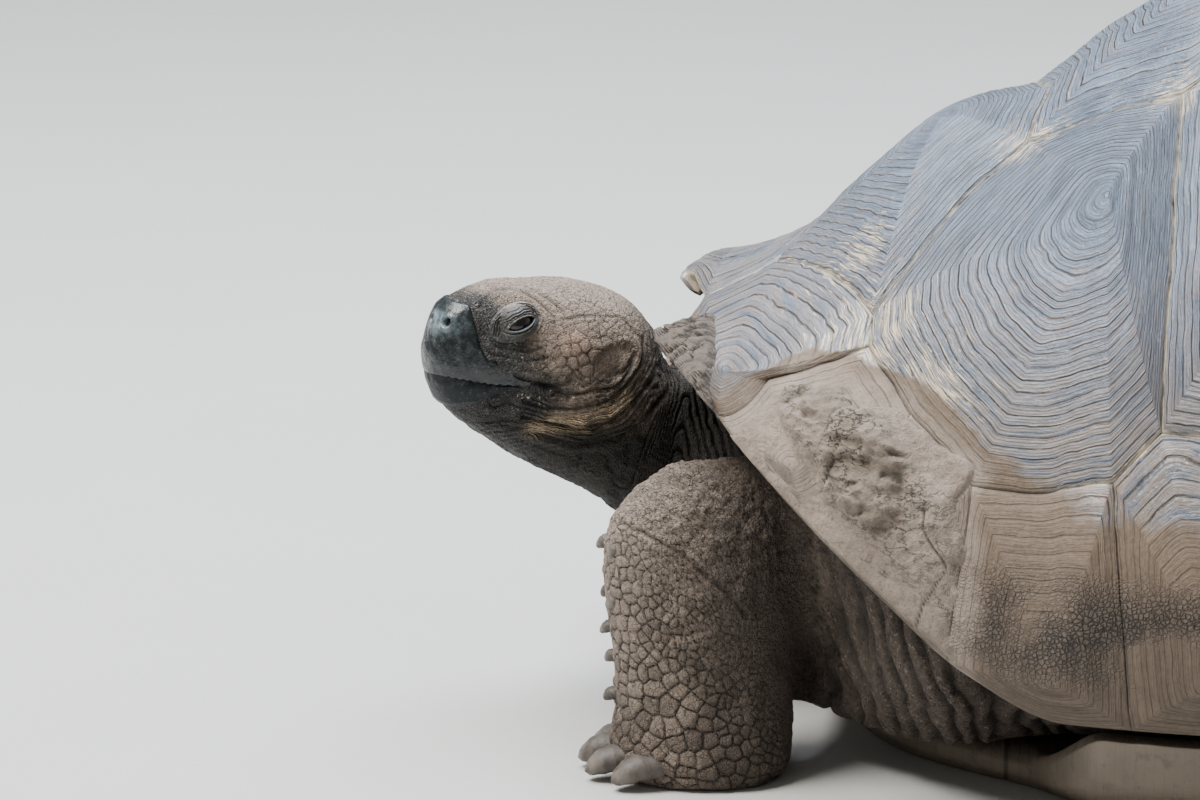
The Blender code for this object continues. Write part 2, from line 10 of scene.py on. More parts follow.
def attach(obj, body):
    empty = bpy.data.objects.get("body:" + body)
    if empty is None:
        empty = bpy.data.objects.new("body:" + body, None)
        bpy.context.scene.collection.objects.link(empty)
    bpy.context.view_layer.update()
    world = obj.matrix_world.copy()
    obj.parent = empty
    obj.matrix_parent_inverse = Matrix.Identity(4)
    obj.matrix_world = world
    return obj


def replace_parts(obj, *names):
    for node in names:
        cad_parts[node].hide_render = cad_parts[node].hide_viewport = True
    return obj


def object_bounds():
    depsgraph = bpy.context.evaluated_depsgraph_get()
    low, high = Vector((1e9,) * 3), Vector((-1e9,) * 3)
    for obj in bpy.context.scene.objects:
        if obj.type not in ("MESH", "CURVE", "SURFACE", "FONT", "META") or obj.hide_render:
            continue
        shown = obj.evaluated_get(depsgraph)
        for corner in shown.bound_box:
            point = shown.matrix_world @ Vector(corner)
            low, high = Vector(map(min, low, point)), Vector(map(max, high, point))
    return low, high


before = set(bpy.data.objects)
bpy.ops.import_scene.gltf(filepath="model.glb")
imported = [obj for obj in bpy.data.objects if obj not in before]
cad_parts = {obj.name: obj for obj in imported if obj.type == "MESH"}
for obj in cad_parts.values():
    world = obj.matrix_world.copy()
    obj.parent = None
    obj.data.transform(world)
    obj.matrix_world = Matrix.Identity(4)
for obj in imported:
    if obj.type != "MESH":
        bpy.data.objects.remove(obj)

solid_low, solid_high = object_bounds()

# ---- camera -----------------------------------------------------------------------------
# A long lens looks at the animal's left side from a little above, and frames its head,
# folded foreleg and the front half of the shell.
front_place = Vector((0.085, solid_low.y + 0.1765, 0.286))   # tip of the first left rim plate
camera_back = Vector((0.9679, 0.0677, 0.2419))                # from there towards the lens
camera_distance = 4.6
framing_offset = Vector((0.0137, -0.0438, -0.0426))           # from that tip to the view's middle

lens = bpy.data.cameras.new("long_lens")
lens.lens = 191.8
lens.sensor_width = 36.0
camera = bpy.data.objects.new("camera", lens)
camera.location = front_place + camera_back * camera_distance
towards = front_place + framing_offset - camera.location
camera.rotation_euler = towards.to_track_quat("-Z", "Y").to_euler()
bpy.context.scene.collection.objects.link(camera)
bpy.context.scene.camera = camera

# ---- light ------------------------------------------------------------------------------
# Soft studio light: a broad white sky, one large soft panel over the animal's left front,
# and a cooler one high behind that gives the shell its slate-blue sheen.
world = bpy.data.worlds.new("studio")
bpy.context.scene.world = world
world.use_nodes = True
world.node_tree.nodes["Background"].inputs["Color"].default_value = (1.0, 0.98, 0.95, 1)
world.node_tree.nodes["Background"].inputs["Strength"].default_value = 0.33

for name, place, size, power, colour in (
        ("key_panel", (0.9, -2.1, 3.4), 1.7, 225, (1.0, 0.96, 0.91)),
        ("sky_panel", (-1.0, -0.6, 3.4), 3.4, 310, (0.86, 0.92, 1.0))):
    panel = bpy.data.lights.new(name, "AREA")
    panel.shape = "DISK"
    panel.size = size
    panel.energy = power
    panel.color = colour
    lamp = bpy.data.objects.new(name, panel)
    lamp.location = place
    aim = Vector((0, -0.2, 0.3)) - lamp.location
    lamp.rotation_euler = aim.to_track_quat("-Z", "Y").to_euler()
    bpy.context.scene.collection.objects.link(lamp)


# ---- floor ------------------------------------------------------------------------------
# A plain pale floor, large enough to fill the view from every side. Its finish is the first
# to use the wires below: a wire is a socket, and arithmetic on wires adds Math nodes.
class Wire:
    """A socket in a finish. Sums, products and comparisons on it add Math nodes."""

    def __init__(self, tree, socket=None):
        self.tree, self.socket = tree, socket

    def node(self, kind, inputs, output=0, **settings):
        """Adds a node, sets it up, feeds its sockets and returns the wire out of it."""
        made = self.tree.nodes.new("ShaderNode" + kind)
        for name, value in settings.items():
            if name == "stops":
                for i, (place, colour) in enumerate(value):
                    stop = made.color_ramp.elements[i] if i < 2 else made.color_ramp.elements.new(place)
                    stop.position = place
                    stop.color = (*colour, 1)
            else:
                setattr(made, name, value)
        for name, value in inputs.items():
            if isinstance(value, Wire):
                self.tree.links.new(value.socket, made.inputs[name])
            else:
                made.inputs[name].default_value = value
        return Wire(self.tree, made.outputs[output])

    def maths(self, operation, *others):
        return self.node("Math", dict(enumerate((self, *others))), operation=operation)

    def __add__(self, other):
        return self.maths("ADD", other)

    def __sub__(self, other):
        return self.maths("SUBTRACT", other)

    def __rsub__(self, other):
        return self.maths("MULTIPLY_ADD", -1.0, other)

    def __mul__(self, other):
        return self.maths("MULTIPLY", other)

    __radd__ = __add__
    __rmul__ = __mul__

    def ramp(self, low, high, start=0.0, end=1.0):
        """start below low, end above high, and a soft change between."""
        return self.node("MapRange", {"Value": self, "From Min": low, "From Max": high,
                                      "To Min": start, "To Max": end}, interpolation_type="SMOOTHSTEP")

    def blend(self, first, second):
        """Colour that goes from the first to the second as this wire goes from 0 to 1."""
        first, second = [c if isinstance(c, Wire) else (*c, 1) for c in (first, second)]
        return self.node("Mix", {0: self, 6: first, 7: second}, output=2, data_type="RGBA")

    def place(self):
        return self.node("TexCoord", {}, output="Object")

    def stretched(self, vector):
        """The object's own coordinates, stretched along its axes."""
        return self.node("Mapping", {"Vector": self.place(), "Scale": vector})

    def noise(self, scale, detail=3.0, roughness=0.55, vector=None):
        where = vector or self.place()
        return self.node("TexNoise", {"Vector": where, "Scale": scale, "Detail": detail,
                                      "Roughness": roughness})

    def cells(self, scale, feature="DISTANCE_TO_EDGE", vector=None):
        where = vector or self.place()
        return self.node("TexVoronoi", {"Vector": where, "Scale": scale}, feature=feature)

    def carried(self, name):
        """A number that the mesh carries at each point."""
        return self.node("Attribute", {}, output="Fac", attribute_name=name)


def new_finish(name):
    """An empty material and a wire to build its nodes from."""
    material = bpy.data.materials.new(name)
    material.use_nodes = True
    return material, Wire(material.node_tree)


def finish_with(material, colour, roughness, bump=None, depth=0.001, **plain):
    """Feeds the material's Principled shader: colour, roughness, bump and plain values."""
    tree = material.node_tree
    shader = tree.nodes["Principled BSDF"]
    for name, value in {"Base Color": colour, "Roughness": roughness, **plain}.items():
        if isinstance(value, Wire):
            tree.links.new(value.socket, shader.inputs[name])
        else:
            shader.inputs[name].default_value = value
    if bump is not None:
        raised = Wire(tree).node("Bump", {"Height": bump, "Distance": depth, "Strength": 1.0})
        tree.links.new(raised.socket, shader.inputs["Normal"])


floor_reach = 30.0
floor_mesh = bpy.data.meshes.new("floor")
floor_mesh.from_pydata([(-floor_reach, -floor_reach, 0), (floor_reach, -floor_reach, 0),
                        (floor_reach, floor_reach, 0), (-floor_reach, floor_reach, 0)],
                       [], [(0, 1, 2, 3)])
floor = bpy.data.objects.new("floor", floor_mesh)
bpy.context.scene.collection.objects.link(floor)
floor_finish, wire = new_finish("pale_floor")
finish_with(floor_finish, wire.noise(3.0).blend((0.52, 0.52, 0.505), (0.56, 0.56, 0.545)), 0.85,
            bump=wire.noise(140.0), depth=0.0004)
floor_mesh.materials.append(floor_finish)


# ---- shell plates -----------------------------------------------------------------------
# The carapace is 36 horn plates over bone: five along the back, four down each flank and a
# ring of 23 round the rim. Each grew outward from a smooth first plate, and every season
# left a ridge. They meet at narrow seams that are worn pale.
shell_shift = 0.0875                 # the shell's centre behind the animal's middle
half_length = 0.55
half_width = 0.415
front_roundness, rear_roundness = 2.35, 2.6
plate_thickness = 0.016
seam_gap = 0.0005
seam_bevel = 0.0065
seam_depth = 0.0020
box_margin = Vector((0.0003, 0.0003, 0))


def smooth_curve(*stations):
    """A curve through (place, value) stations that doesn't overshoot between them."""
    places, values = np.array(stations, float).T
    steps = np.diff(places)
    slopes = np.diff(values) / steps
    tangents = np.zeros_like(values)
    tangents[0], tangents[-1] = slopes[0], slopes[-1]
    before, after = slopes[:-1], slopes[1:]
    same_way = before * after > 0
    tangents[1:-1][same_way] = (2 * before * after)[same_way] / (before + after)[same_way]

    def value_at(place):
        i = np.clip(np.searchsorted(places, place, side="right") - 1, 0, len(steps) - 1)
        t = (place - places[i]) / steps[i]
        return ((1 + 2 * t) * (1 - t) ** 2 * values[i] + t * (1 - t) ** 2 * steps[i] * tangents[i]
                + t * t * (3 - 2 * t) * values[i + 1] + t * t * (t - 1) * steps[i] * tangents[i + 1])

    return value_at


# heights along the shell, behind its centre: lower edge, crown, and how far the edge flares
rim_height = smooth_curve((-0.55, 0.286), (-0.52, 0.279), (-0.48, 0.247), (-0.44, 0.215),
                          (-0.38, 0.168), (-0.32, 0.124), (-0.25, 0.097), (0.10, 0.100),
                          (0.30, 0.120), (0.45, 0.142), (0.55, 0.130))
crown_height = smooth_curve((-0.55, 0.286), (-0.50, 0.310), (-0.46, 0.333), (-0.40, 0.383),
                            (-0.34, 0.430), (-0.28, 0.456), (-0.22, 0.497), (-0.12, 0.548),
                            (0.05, 0.572), (0.22, 0.530), (0.36, 0.440), (0.47, 0.290),
                            (0.55, 0.130))
rim_flare = smooth_curve((-0.55, 0.30), (-0.42, 0.30), (-0.25, 0.12), (-0.10, 0.05), (0.20, 0.08),
                         (0.40, 0.30), (0.55, 0.35))


def soft_step(value, low, high):
    """0 below low, 1 above high, and a soft change between."""
    t = np.clip((value - low) / (high - low), 0, 1)
    return t * t * (3 - 2 * t)


def scatter(cells, seed):
    """A fixed random number from 0 to 1 for each whole-numbered cell."""
    mixed = cells.astype(np.int64).astype(np.uint32)
    total = (mixed[..., 0] * np.uint32(374761393) + mixed[..., 1] * np.uint32(668265263)
             + mixed[..., 2] * np.uint32(2246822519) + np.uint32(seed * 3266489917 % 2 ** 32))
    total = (total ^ (total >> np.uint32(13))) * np.uint32(1274126177)
    total = (total ^ (total >> np.uint32(16))) * np.uint32(2654435761)
    return (total ^ (total >> np.uint32(15))).astype(np.float64) / 2 ** 32


def drift(points, size, seed=0, octaves=1):
    """Smooth random relief from -1 to 1 with bumps about size across."""
    total, weight = np.zeros(points.shape[:-1]), 0.0
    for octave in range(octaves):
        scaled = points / (size / 2 ** octave)
        cell = np.floor(scaled)
        t = scaled - cell
        t = t * t * (3 - 2 * t)
        value = np.zeros(points.shape[:-1])
        for corner in np.ndindex(2, 2, 2):
            share = np.prod(np.where(np.array(corner) > 0, t, 1 - t), axis=-1)
            value += share * scatter(cell + corner, seed + octave * 17)
        total += (value * 2 - 1) / 2 ** octave
        weight += 1 / 2 ** octave
    return total / weight


def width_at(y):
    """Half the shell's width at y."""
    power = np.where(y < 0, front_roundness, rear_roundness)
    return half_width * np.clip(1 - np.abs(y / half_length) ** power, 0, 1) ** (1 / power)


def rim_place(angle):
    """Place (y, reach) on the rim, the angle running from 0 in front to pi behind."""
    forward, side = np.cos(angle), np.sin(angle)
    power = 2 / np.where(forward > 0, front_roundness, rear_roundness)
    return np.stack([-half_length * np.sign(forward) * np.abs(forward) ** power,
                     np.sign(side) * np.abs(side) ** power], -1)


def rim_angle(y):
    """The angle whose rim place lies at y on the left side."""
    power = front_roundness if y < 0 else rear_roundness
    return math.acos(-math.copysign(abs(y / half_length) ** (power / 2), y))


def shell_surface(places, lift=0.0):
    """Points of the shell at (y, reach) places, raised by lift, in the frame."""
    y, reach = places[..., 0], places[..., 1]
    angle = np.clip(reach * half_width / np.maximum(width_at(y), 1e-4), -1, 1) * math.pi / 2
    flare = rim_flare(y)
    rise = (1 - flare) * np.cos(angle) + flare * np.cos(angle) ** 2
    low = rim_height(y)
    points = np.stack([width_at(y) * np.sin(angle), y, low + (crown_height(y) - low) * rise], -1)
    # the right tip of the front rim curls up
    points[..., 2] += 0.010 * soft_step(-points[..., 0], 0.015, 0.075) * soft_step(-y, 0.450, 0.540)
    outward = points * (1, 0.5, 1)
    outward /= np.linalg.norm(outward, axis=-1, keepdims=True)
    return points + outward * np.asarray(lift)[..., None] + (0, shell_shift, 0)


def make_piece(name, points, faces, numbers=None):
    """A smooth mesh from points and blocks of faces; numbers are values carried at each point."""
    mesh = bpy.data.meshes.new(name)
    mesh.vertices.add(len(points))
    mesh.vertices.foreach_set("co", np.asarray(points, np.float32).ravel())
    corners = np.concatenate([np.asarray(block).ravel() for block in faces])
    sizes = np.concatenate([np.full(len(block), np.shape(block)[1]) for block in faces])
    mesh.loops.add(len(corners))
    mesh.loops.foreach_set("vertex_index", corners.astype(np.int32))
    mesh.polygons.add(len(sizes))
    starts = np.concatenate([[0], np.cumsum(sizes)[:-1]])
    mesh.polygons.foreach_set("loop_start", starts.astype(np.int32))
    mesh.update(calc_edges=True)
    carry(mesh, numbers or {})
    mesh.shade_smooth()
    piece = bpy.data.objects.new(name, mesh)
    bpy.context.scene.collection.objects.link(piece)
    return piece


def facing_out(points, faces):
    """The faces of a closed form, turned over where they would face into it."""
    middle, volume = points.mean(axis=0), 0.0
    for block in faces:
        first, *others = [points[block[:, k]] - middle for k in range(block.shape[1])]
        for second, third in zip(others, others[1:]):
            volume += np.einsum("ij,ij->", first, np.cross(second, third))
    return faces if volume > 0 else [block[:, ::-1] for block in faces]


def carry(mesh, numbers):
    """Stores named values at the points of a mesh, for its finish to read."""
    for label, values in numbers.items():
        layer = mesh.attributes.new(label, "FLOAT", "POINT")
        layer.data.foreach_set("value", np.asarray(values, np.float32))


def grid_faces(rows, columns, start=0):
    """Faces between rows of points that each close into a ring."""
    row, column = np.meshgrid(np.arange(rows - 1), np.arange(columns), indexing="ij")
    beside = (column + 1) % columns
    here, there = start + row * columns, start + (row + 1) * columns
    return np.stack([here + column, here + beside, there + beside, there + column], -1).reshape(-1, 4)


def fan_faces(ring_start, columns, tip, flip):
    """Triangles from a ring of points to one tip."""
    column = np.arange(columns)
    beside = (column + 1) % columns
    fan = np.stack([ring_start + column, ring_start + beside, np.full(columns, tip)], -1)
    return fan[:, ::-1] if flip else fan


def seam_line(start, end, side, step=0.0046):
    """Places along one seam, the end left out. A corner is (y, reach), or (angle,) on the rim."""
    ends = [np.array(corner) if len(corner) == 2 else rim_place(corner[0]) for corner in (start, end)]
    length = np.linalg.norm(np.diff(shell_surface(np.array(ends)), axis=0))
    share = np.arange(max(1, round(length / step))) / max(1, round(length / step))
    if len(start) == 1 and len(end) == 1:
        line = rim_place(start[0] + (end[0] - start[0]) * share)
    else:
        line = ends[0] + (ends[1] - ends[0]) * share[:, None]
        spots = np.stack([line[:, 0], line[:, 1] * half_width * side, 0 * share], -1)
        near_rim = np.abs(line[:, 1]) * half_width / np.maximum(width_at(line[:, 0]), 1e-4)
        free = 1 - np.clip(near_rim, 0, 1) ** 8
        line[:, 0] += 0.0016 * drift(spots, 0.018, 3, 2) * free
        line[:, 1] += 0.0036 * drift(spots, 0.018, 4, 2) * free * (line[:, 1] != 0)
    return line * (1, side)


def ring_relief(points, grown, seasons, seed):
    """Growth ridges: returns their height and the season count at each point."""
    years = np.stack([grown * 6.0, grown * 0 + seed, grown * 0], -1)
    season = grown * seasons + 0.9 * drift(years, 1.0, seed, 2)
    season = season + 0.20 * drift(points, 0.045, seed, 2) + 0.16 * drift(points, 0.012, seed + 5, 2)
    whole = np.floor(season)
    part = season - whole
    strength = 0.25 + 0.75 * scatter(np.stack([whole, whole * 0 + seed, whole * 0], -1), 9)
    strength = strength * (0.75 + 0.6 * drift(points, 0.050, seed + 9, 2))
    ridge = np.where(part < 0.75, part / 0.75, (1 - part) / 0.25)
    return ridge * 0.00145 * strength * soft_step(grown, 0.06, 0.35), season


mud_top = smooth_curve((-0.550, 0.200), (-0.505, 0.238), (-0.4865, 0.262), (-0.424, 0.291),
                       (-0.381, 0.288), (-0.313, 0.258), (-0.262, 0.235))


def front_mud(points):
    """How deep inside the thick front coat of mud each point lies: over 0 within it."""
    y, z = points[..., 1] - shell_shift, points[..., 2]
    inside = np.minimum((mud_top(np.clip(y, -0.55, -0.262)) - z) / 0.010, (y + 0.500) / 0.010)
    rear = (-0.314 - 0.10 * (0.24 - z) - y + 0.016 * drift(points, 0.050, 121, 3)) / 0.016
    return np.minimum(inside, rear)


def mud_on(points):
    """Shares of thin brown mud and of the pale front coat at each point, and how thick mud lies."""
    y, z = points[..., 1] - shell_shift, points[..., 2]
    blotch = drift(points, 0.090, 91, 4)
    splash = soft_step(0.262 - z + 0.055 * blotch + 0.045 * (1 - soft_step(y, -0.36, -0.24)), -0.020, 0.060)
    coated = soft_step(front_mud(points) + 1.3 * drift(points, 0.034, 110, 5), -2.2, 0.4)
    return splash * 0.95, coated, splash * (0.0003 + 0.0007 * np.clip(drift(points, 0.014, 95, 3), 0, 1))


def wear_on(points, to_seam):
    """How far the dark surface is worn down to pale horn, from 0 to 1."""
    worn = 0.60 * np.exp(-np.maximum(to_seam, 0) / 0.007)
    for y, reach, spread in ((-0.390, 0.350, 0.060), (-0.350, 0.490, 0.055), (-0.400, 0.200, 0.045),
                             (-0.285, 0.147, 0.040), (-0.178, 0.240, 0.035)):
        for side in (1, -1):
            gap = np.linalg.norm(points - shell_surface(np.array([y, reach * side])), axis=-1)
            worn = np.maximum(worn, 0.85 * np.exp(-(gap / spread) ** 2))
    return worn


def grow_plate(name, centre, corners, dome, seasons, side=1, seed=0):
    """One horn plate, as rings of points from its growth centre out to its seams."""
    outline = np.concatenate([seam_line(a, b, side) for a, b in zip(corners, corners[1:] + corners[:1])])
    if side < 0:
        outline = outline[::-1]
    middle = np.array(centre) * (1, side)
    edge = shell_surface(outline)
    reach = np.linalg.norm(edge - shell_surface(middle), axis=-1)
    rows = max(12, round(float(reach.mean()) / 0.0020))
    grown = np.linspace(0, 1, rows + 1)[1:]
    turn_reach = max(2, len(outline) // 13)
    rounded = np.mean([np.roll(outline, k, axis=0) for k in range(-turn_reach, turn_reach + 1)], axis=0)
    corner_share = (0.70 * (1 - grown) ** 0.75)[:, None, None]        # inner ridges turn more softly
    places = outline + (rounded - outline) * corner_share
    places = middle + (places - middle) * grown[:, None, None]
    plain = shell_surface(places)
    to_seam = (1 - grown[:, None]) * reach
    on_rim = soft_step(np.abs(outline[:, 1]) * half_width / np.maximum(width_at(outline[:, 0]), 1e-4),
                       0.97, 1.0)
    blunt = on_rim * soft_step(outline[:, 0], -0.535, -0.490)       # the front edge is left square
    bevel, fall = seam_bevel + 0.008 * blunt, seam_depth + 0.0030 * blunt
    mud, coated, thick = mud_on(plain)
    ridges, season = ring_relief(plain, grown[:, None], seasons, seed)
    buried = 1 - np.maximum(0.82 * mud, 0.90 * coated)
    lift = dome * (1 - grown[:, None] ** 2) + ridges * buried - 0.0024
    lift = lift + 0.0010 * drift(plain, 0.045, seed + 30, 2) * soft_step(to_seam, 0, 0.01)
    edge_share = 1 - np.clip(to_seam / bevel, 0, 1)
    lift = lift - fall * edge_share ** 2 * np.maximum(buried, on_rim) + thick * (1 - on_rim * edge_share)
    top = np.clip(shell_surface(places, lift), solid_low + box_margin, solid_high - box_margin)
    inward = top[-4] - top[-1]
    top[-1] += inward / np.linalg.norm(inward, axis=-1, keepdims=True) * seam_gap / 2
    # the wall and the underside, which tuck in under the top
    inner = middle + (outline - middle) * 0.985
    wall = []
    start = seam_depth + 0.0024 + 0.0030 * on_rim
    front_lip = soft_step(-outline[:, 0], 0.500, 0.530)
    stout = plate_thickness + 0.0085 * front_lip
    for depth in (0.25, 0.5, 0.75, 1.0):
        row = shell_surface(outline, -start - depth * (stout - start))
        inside = shell_surface(inner, -plate_thickness) - shell_surface(outline, -plate_thickness)
        inside /= np.linalg.norm(inside, axis=-1, keepdims=True)
        round_in = (0.0010 * math.sin(math.pi * depth) - 0.0025 * depth ** 2) * (1 + 2 * front_lip)
        wall.append(row + inside * (seam_gap / 2 + 0.0008 * depth - round_in * on_rim)[:, None])
    under = [shell_surface(middle + (outline - middle) * share,
                           -plate_thickness - (stout - plate_thickness) * share ** 2)
             for share in (0.94, 0.75, 0.5, 0.25)]
    rings = np.concatenate([top, wall, under])
    count = len(outline)
    tips = np.stack([shell_surface(middle, dome - 0.0024), shell_surface(middle, -plate_thickness)])
    points = np.concatenate([rings.reshape(-1, 3), tips])
    total = len(rings) * count
    faces = [grid_faces(len(rings), count)[:, ::-1], fan_faces(0, count, total, False),
             fan_faces(total - count, count, total + 1, True)]

    def ended(values, centre_value, under_value):
        """A value for every point: the top, the walls like its edge, the underside and the tips."""
        values = np.broadcast_to(values, to_seam.shape)
        return np.concatenate([values.ravel(), np.tile(values[-1], len(wall)),
                               np.full(len(under) * count, under_value), [centre_value, under_value]])

    numbers = {"season": ended(season + seed * 3.7, seed * 3.7, seed * 3.7),
               "from_seam": ended(np.maximum(to_seam, 0.02 * on_rim), 0.1, 0.02),
               "grown": ended(grown[:, None], 0, 1), "mud": ended(mud, 0, 0.8),
               "coated": ended(coated, 0, 0.3),
               "worn": ended(wear_on(plain, np.maximum(to_seam, 0.03 * on_rim)), 0, 0)}
    piece = make_piece(name, points, facing_out(points, faces), numbers)
    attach(piece, "root")
    return piece


# seams of the left half, as (y, reach) with the reach as a share of the half width
midline = [(-0.468, 0), (-0.270, 0), (-0.045, 0), (0.165, 0), (0.335, 0), (0.460, 0)]
vertebral_corners = [(-0.285, 0.147), (-0.055, 0.165), (0.155, 0.160), (0.322, 0.125)]
costal_tops = [(-0.390, 0.321), (-0.178, 0.240), (0.055, 0.250), (0.250, 0.225), (0.415, 0.300)]
costal_feet = [None, (-0.188, 0.651), (0.030, 0.655), (0.250, 0.620)]
marginal_tops = [(-0.468, 0), (-0.392, 0.376), (-0.360, 0.505), (-0.315, 0.619), (-0.220, 0.678),
                 (-0.125, 0.700), (-0.020, 0.705), (0.090, 0.700), (0.190, 0.675), (0.320, 0.590),
                 (0.390, 0.450), (0.450, 0.190)]
rim_stops = [rim_angle(y) for y in (-0.545, -0.500, -0.429, -0.332, -0.205, -0.105, 0.0, 0.110,
                                    0.225, 0.345, 0.450, 0.533)]
front_seam_bend, nuchal_notch = (-0.462, 0.348), (-0.520, 0)

plates = []
for i, growth in enumerate((-0.345, -0.150, 0.065, 0.260, 0.385)):
    half = [vertebral_corners[i - 1]] if i > 0 else []
    half += [costal_tops[i], vertebral_corners[i] if i < 4 else marginal_tops[11]]
    other = [(y, -reach) for y, reach in reversed(half)]
    corners = [midline[i]] + half + [midline[i + 1]] + other
    name = f"vertebral_{i + 1}"
    piece = grow_plate(f"{name}_horn", (growth, 0), corners, 0.010, 22, seed=i + 1)
    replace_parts(piece, name)
    plates.append(piece)

for side, word in ((1, "left"), (-1, "right")):
    for i, growth in enumerate(((-0.225, 0.350), (-0.055, 0.395), (0.160, 0.380), (0.310, 0.335))):
        front = [marginal_tops[2:0:-1], [costal_feet[1]], [costal_feet[2]], [costal_feet[3]]][i]
        feet = marginal_tops[2 * i + 4:2 * i + 2:-1]
        heel = [costal_feet[i + 1]] if i < 3 else []
        corners = [costal_tops[i], vertebral_corners[i], costal_tops[i + 1]] + heel + feet + front
        name = f"costal_{word}_{i + 1}"
        piece = grow_plate(f"{name}_horn", growth, corners, 0.009, 26, side, seed=10 + i * 2 + side)
        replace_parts(piece, name)
        plates.append(piece)
    peaks = {0: costal_tops[0], 4: costal_feet[1], 6: costal_feet[2], 8: costal_feet[3],
             10: costal_tops[4]}
    for i in range(11):
        corners = [marginal_tops[i]] + ([peaks[i]] if i in peaks else []) + [marginal_tops[i + 1]]
        corners += [front_seam_bend] if i == 0 else []
        corners += [(rim_stops[i + 1],), (rim_stops[i],)]
        corners += [nuchal_notch] if i == 0 else [front_seam_bend] if i == 1 else []
        ends = [np.array(corner) if len(corner) == 2 else rim_place(corner[0]) for corner in corners]
        low_edge = 0.35 * rim_place(rim_stops[i]) + 0.65 * rim_place(rim_stops[i + 1])
        to_edge = 0.5 if i < 3 else 0.70
        growth = tuple((1 - to_edge) * np.mean(ends, axis=0) + to_edge * low_edge)
        name = f"marginal_{word}_{i + 1}"
        piece = grow_plate(f"{name}_horn", growth, corners, 0.0038, 13, side, seed=30 + i * 2 + side)
        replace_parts(piece, name)
        plates.append(piece)

rear_corners = [midline[5], marginal_tops[11], (rim_stops[11],), (2 * math.pi - rim_stops[11],),
                (marginal_tops[11][0], -marginal_tops[11][1])]
piece = grow_plate("supracaudal_horn", (0.500, 0), rear_corners, 0.005, 12, seed=60)
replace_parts(piece, "supracaudal")
plates.append(piece)

horn_finish, wire = new_finish("shell_horn")
season, mud, worn, seam = [wire.carried(name) for name in ("season", "mud", "worn", "from_seam")]
height = wire.node("SeparateXYZ", {"Vector": wire.place()}, output="Z")


def combed(stretch, across):
    """Coordinates in which a noise runs out into streaks along the growth ridges."""
    shift = wire.node("CombineXYZ", {"X": season * across})
    return wire.node("VectorMath", {0: wire.stretched((stretch,) * 3), 1: shift}, operation="ADD")


broad, patchy, fine = wire.noise(9.0, 4), wire.noise(55.0, 5, 0.65), wire.noise(330.0, 4)
streak, thread = wire.noise(1.0, 5, 0.62, combed(30.0, 1.7)), wire.noise(1.0, 4, 0.65, combed(75.0, 6.5))
part = season.maths("FRACT")
# groove: painted shade in the dip behind each growth ridge.
groove = part.ramp(0.76, 0.90) * (1 - part.ramp(0.94, 1.0)) * thread.ramp(0.30, 0.50)
# lip: a painted highlight along the crest of each growth ridge.
lip = part.ramp(0.40, 0.72) * (1 - part.ramp(0.76, 0.84))
hair = (season * 3.3).maths("FRACT").ramp(0.50, 0.95) * thread.ramp(0.35, 0.60)
grown_in = wire.carried("grown").ramp(0.06, 0.40)
# Slate horn, streaked along the growth ridges; its pale blue end is partly a painted sky sheen.
colour = (streak * 1.5 + broad * 0.8 - 0.66).blend((0.038, 0.053, 0.080), (0.240, 0.308, 0.415))
colour = (thread.ramp(0.48, 0.72) * patchy.ramp(0.35, 0.60) * 0.65).blend(colour, (0.150, 0.105, 0.072))
colour = (height.ramp(0.42, 0.26) * streak.ramp(0.32, 0.58) * 0.75).blend(colour, (0.240, 0.178, 0.125))
# painted highlight on the crests of the growth ridges
colour = (lip * grown_in * thread.ramp(0.40, 0.62) * 0.38).blend(colour, (0.440, 0.430, 0.415))
# painted shade in the ring grooves, with the fine ring lines' own dark colour
colour = ((groove * 0.92 + hair * 0.45) * grown_in).blend(colour, (0.026, 0.021, 0.018))
rusty = thread.ramp(0.56, 0.62) * broad.ramp(0.50, 0.62)
colour = (rusty * 0.55).blend(colour, (0.330, 0.195, 0.120))
bare = (thread + worn * 0.27 + patchy * 0.20 - 0.82).ramp(0.0, 0.025)
colour = (bare * 0.95).blend(colour, (0.720, 0.590, 0.410))
seam_line_share = seam.ramp(0.0004, 0.0019, 1, 0)
seam_colour = (patchy * 0.5 + thread * 0.6).ramp(0.42, 0.60).blend((0.075, 0.062, 0.052), (0.600, 0.530, 0.410))
colour = (seam_line_share * 0.9).blend(colour, seam_colour)
coated = wire.carried("coated")
cake = (mud + coated * 1.5 + patchy * 0.5 + streak * 0.3 - 0.57).ramp(0.08, 0.42)
# The earth is made darker towards the bottom of the shell.
low_darkening = height.ramp(0.24, 0.12)
earth = (broad * 0.6 + fine * 0.8 + streak * 0.5 - 0.4).blend((0.058, 0.041, 0.028), (0.240, 0.175, 0.122))
earth = (low_darkening * 0.45).blend(earth, (0.095, 0.073, 0.055))
crumbly = height.ramp(0.112, 0.150) * height.ramp(0.210, 0.165) * broad.ramp(0.36, 0.50)
crackled = wire.cells(300.0).ramp(0.02, 0.22, 1, 0) * crumbly
earth = (crumbly * 0.5).blend(earth, (0.060, 0.047, 0.037))
earth = (crackled * 0.85).blend(earth, (0.014, 0.011, 0.009))
# painted shade in the ring grooves where the earth lies thin, with the fine ring lines' own colour
earth = ((groove * 0.34 + hair * 0.10) * (1 - crumbly) * patchy.ramp(0.35, 0.60)).blend(earth, (0.036, 0.028, 0.022))
earth = (seam_line_share * 0.5).blend(earth, (0.045, 0.036, 0.029))
crumbs = wire.noise(320.0, 3)
pale_mud = (wire.noise(22.0, 4) * 1.0 + wire.noise(120.0, 5, 0.7) * 0.8 - 0.45).blend(
    (0.115, 0.086, 0.062), (0.400, 0.328, 0.265))
pale_mud = (crumbs.ramp(0.58, 0.68) * 0.45).blend(pale_mud, (0.095, 0.076, 0.058))
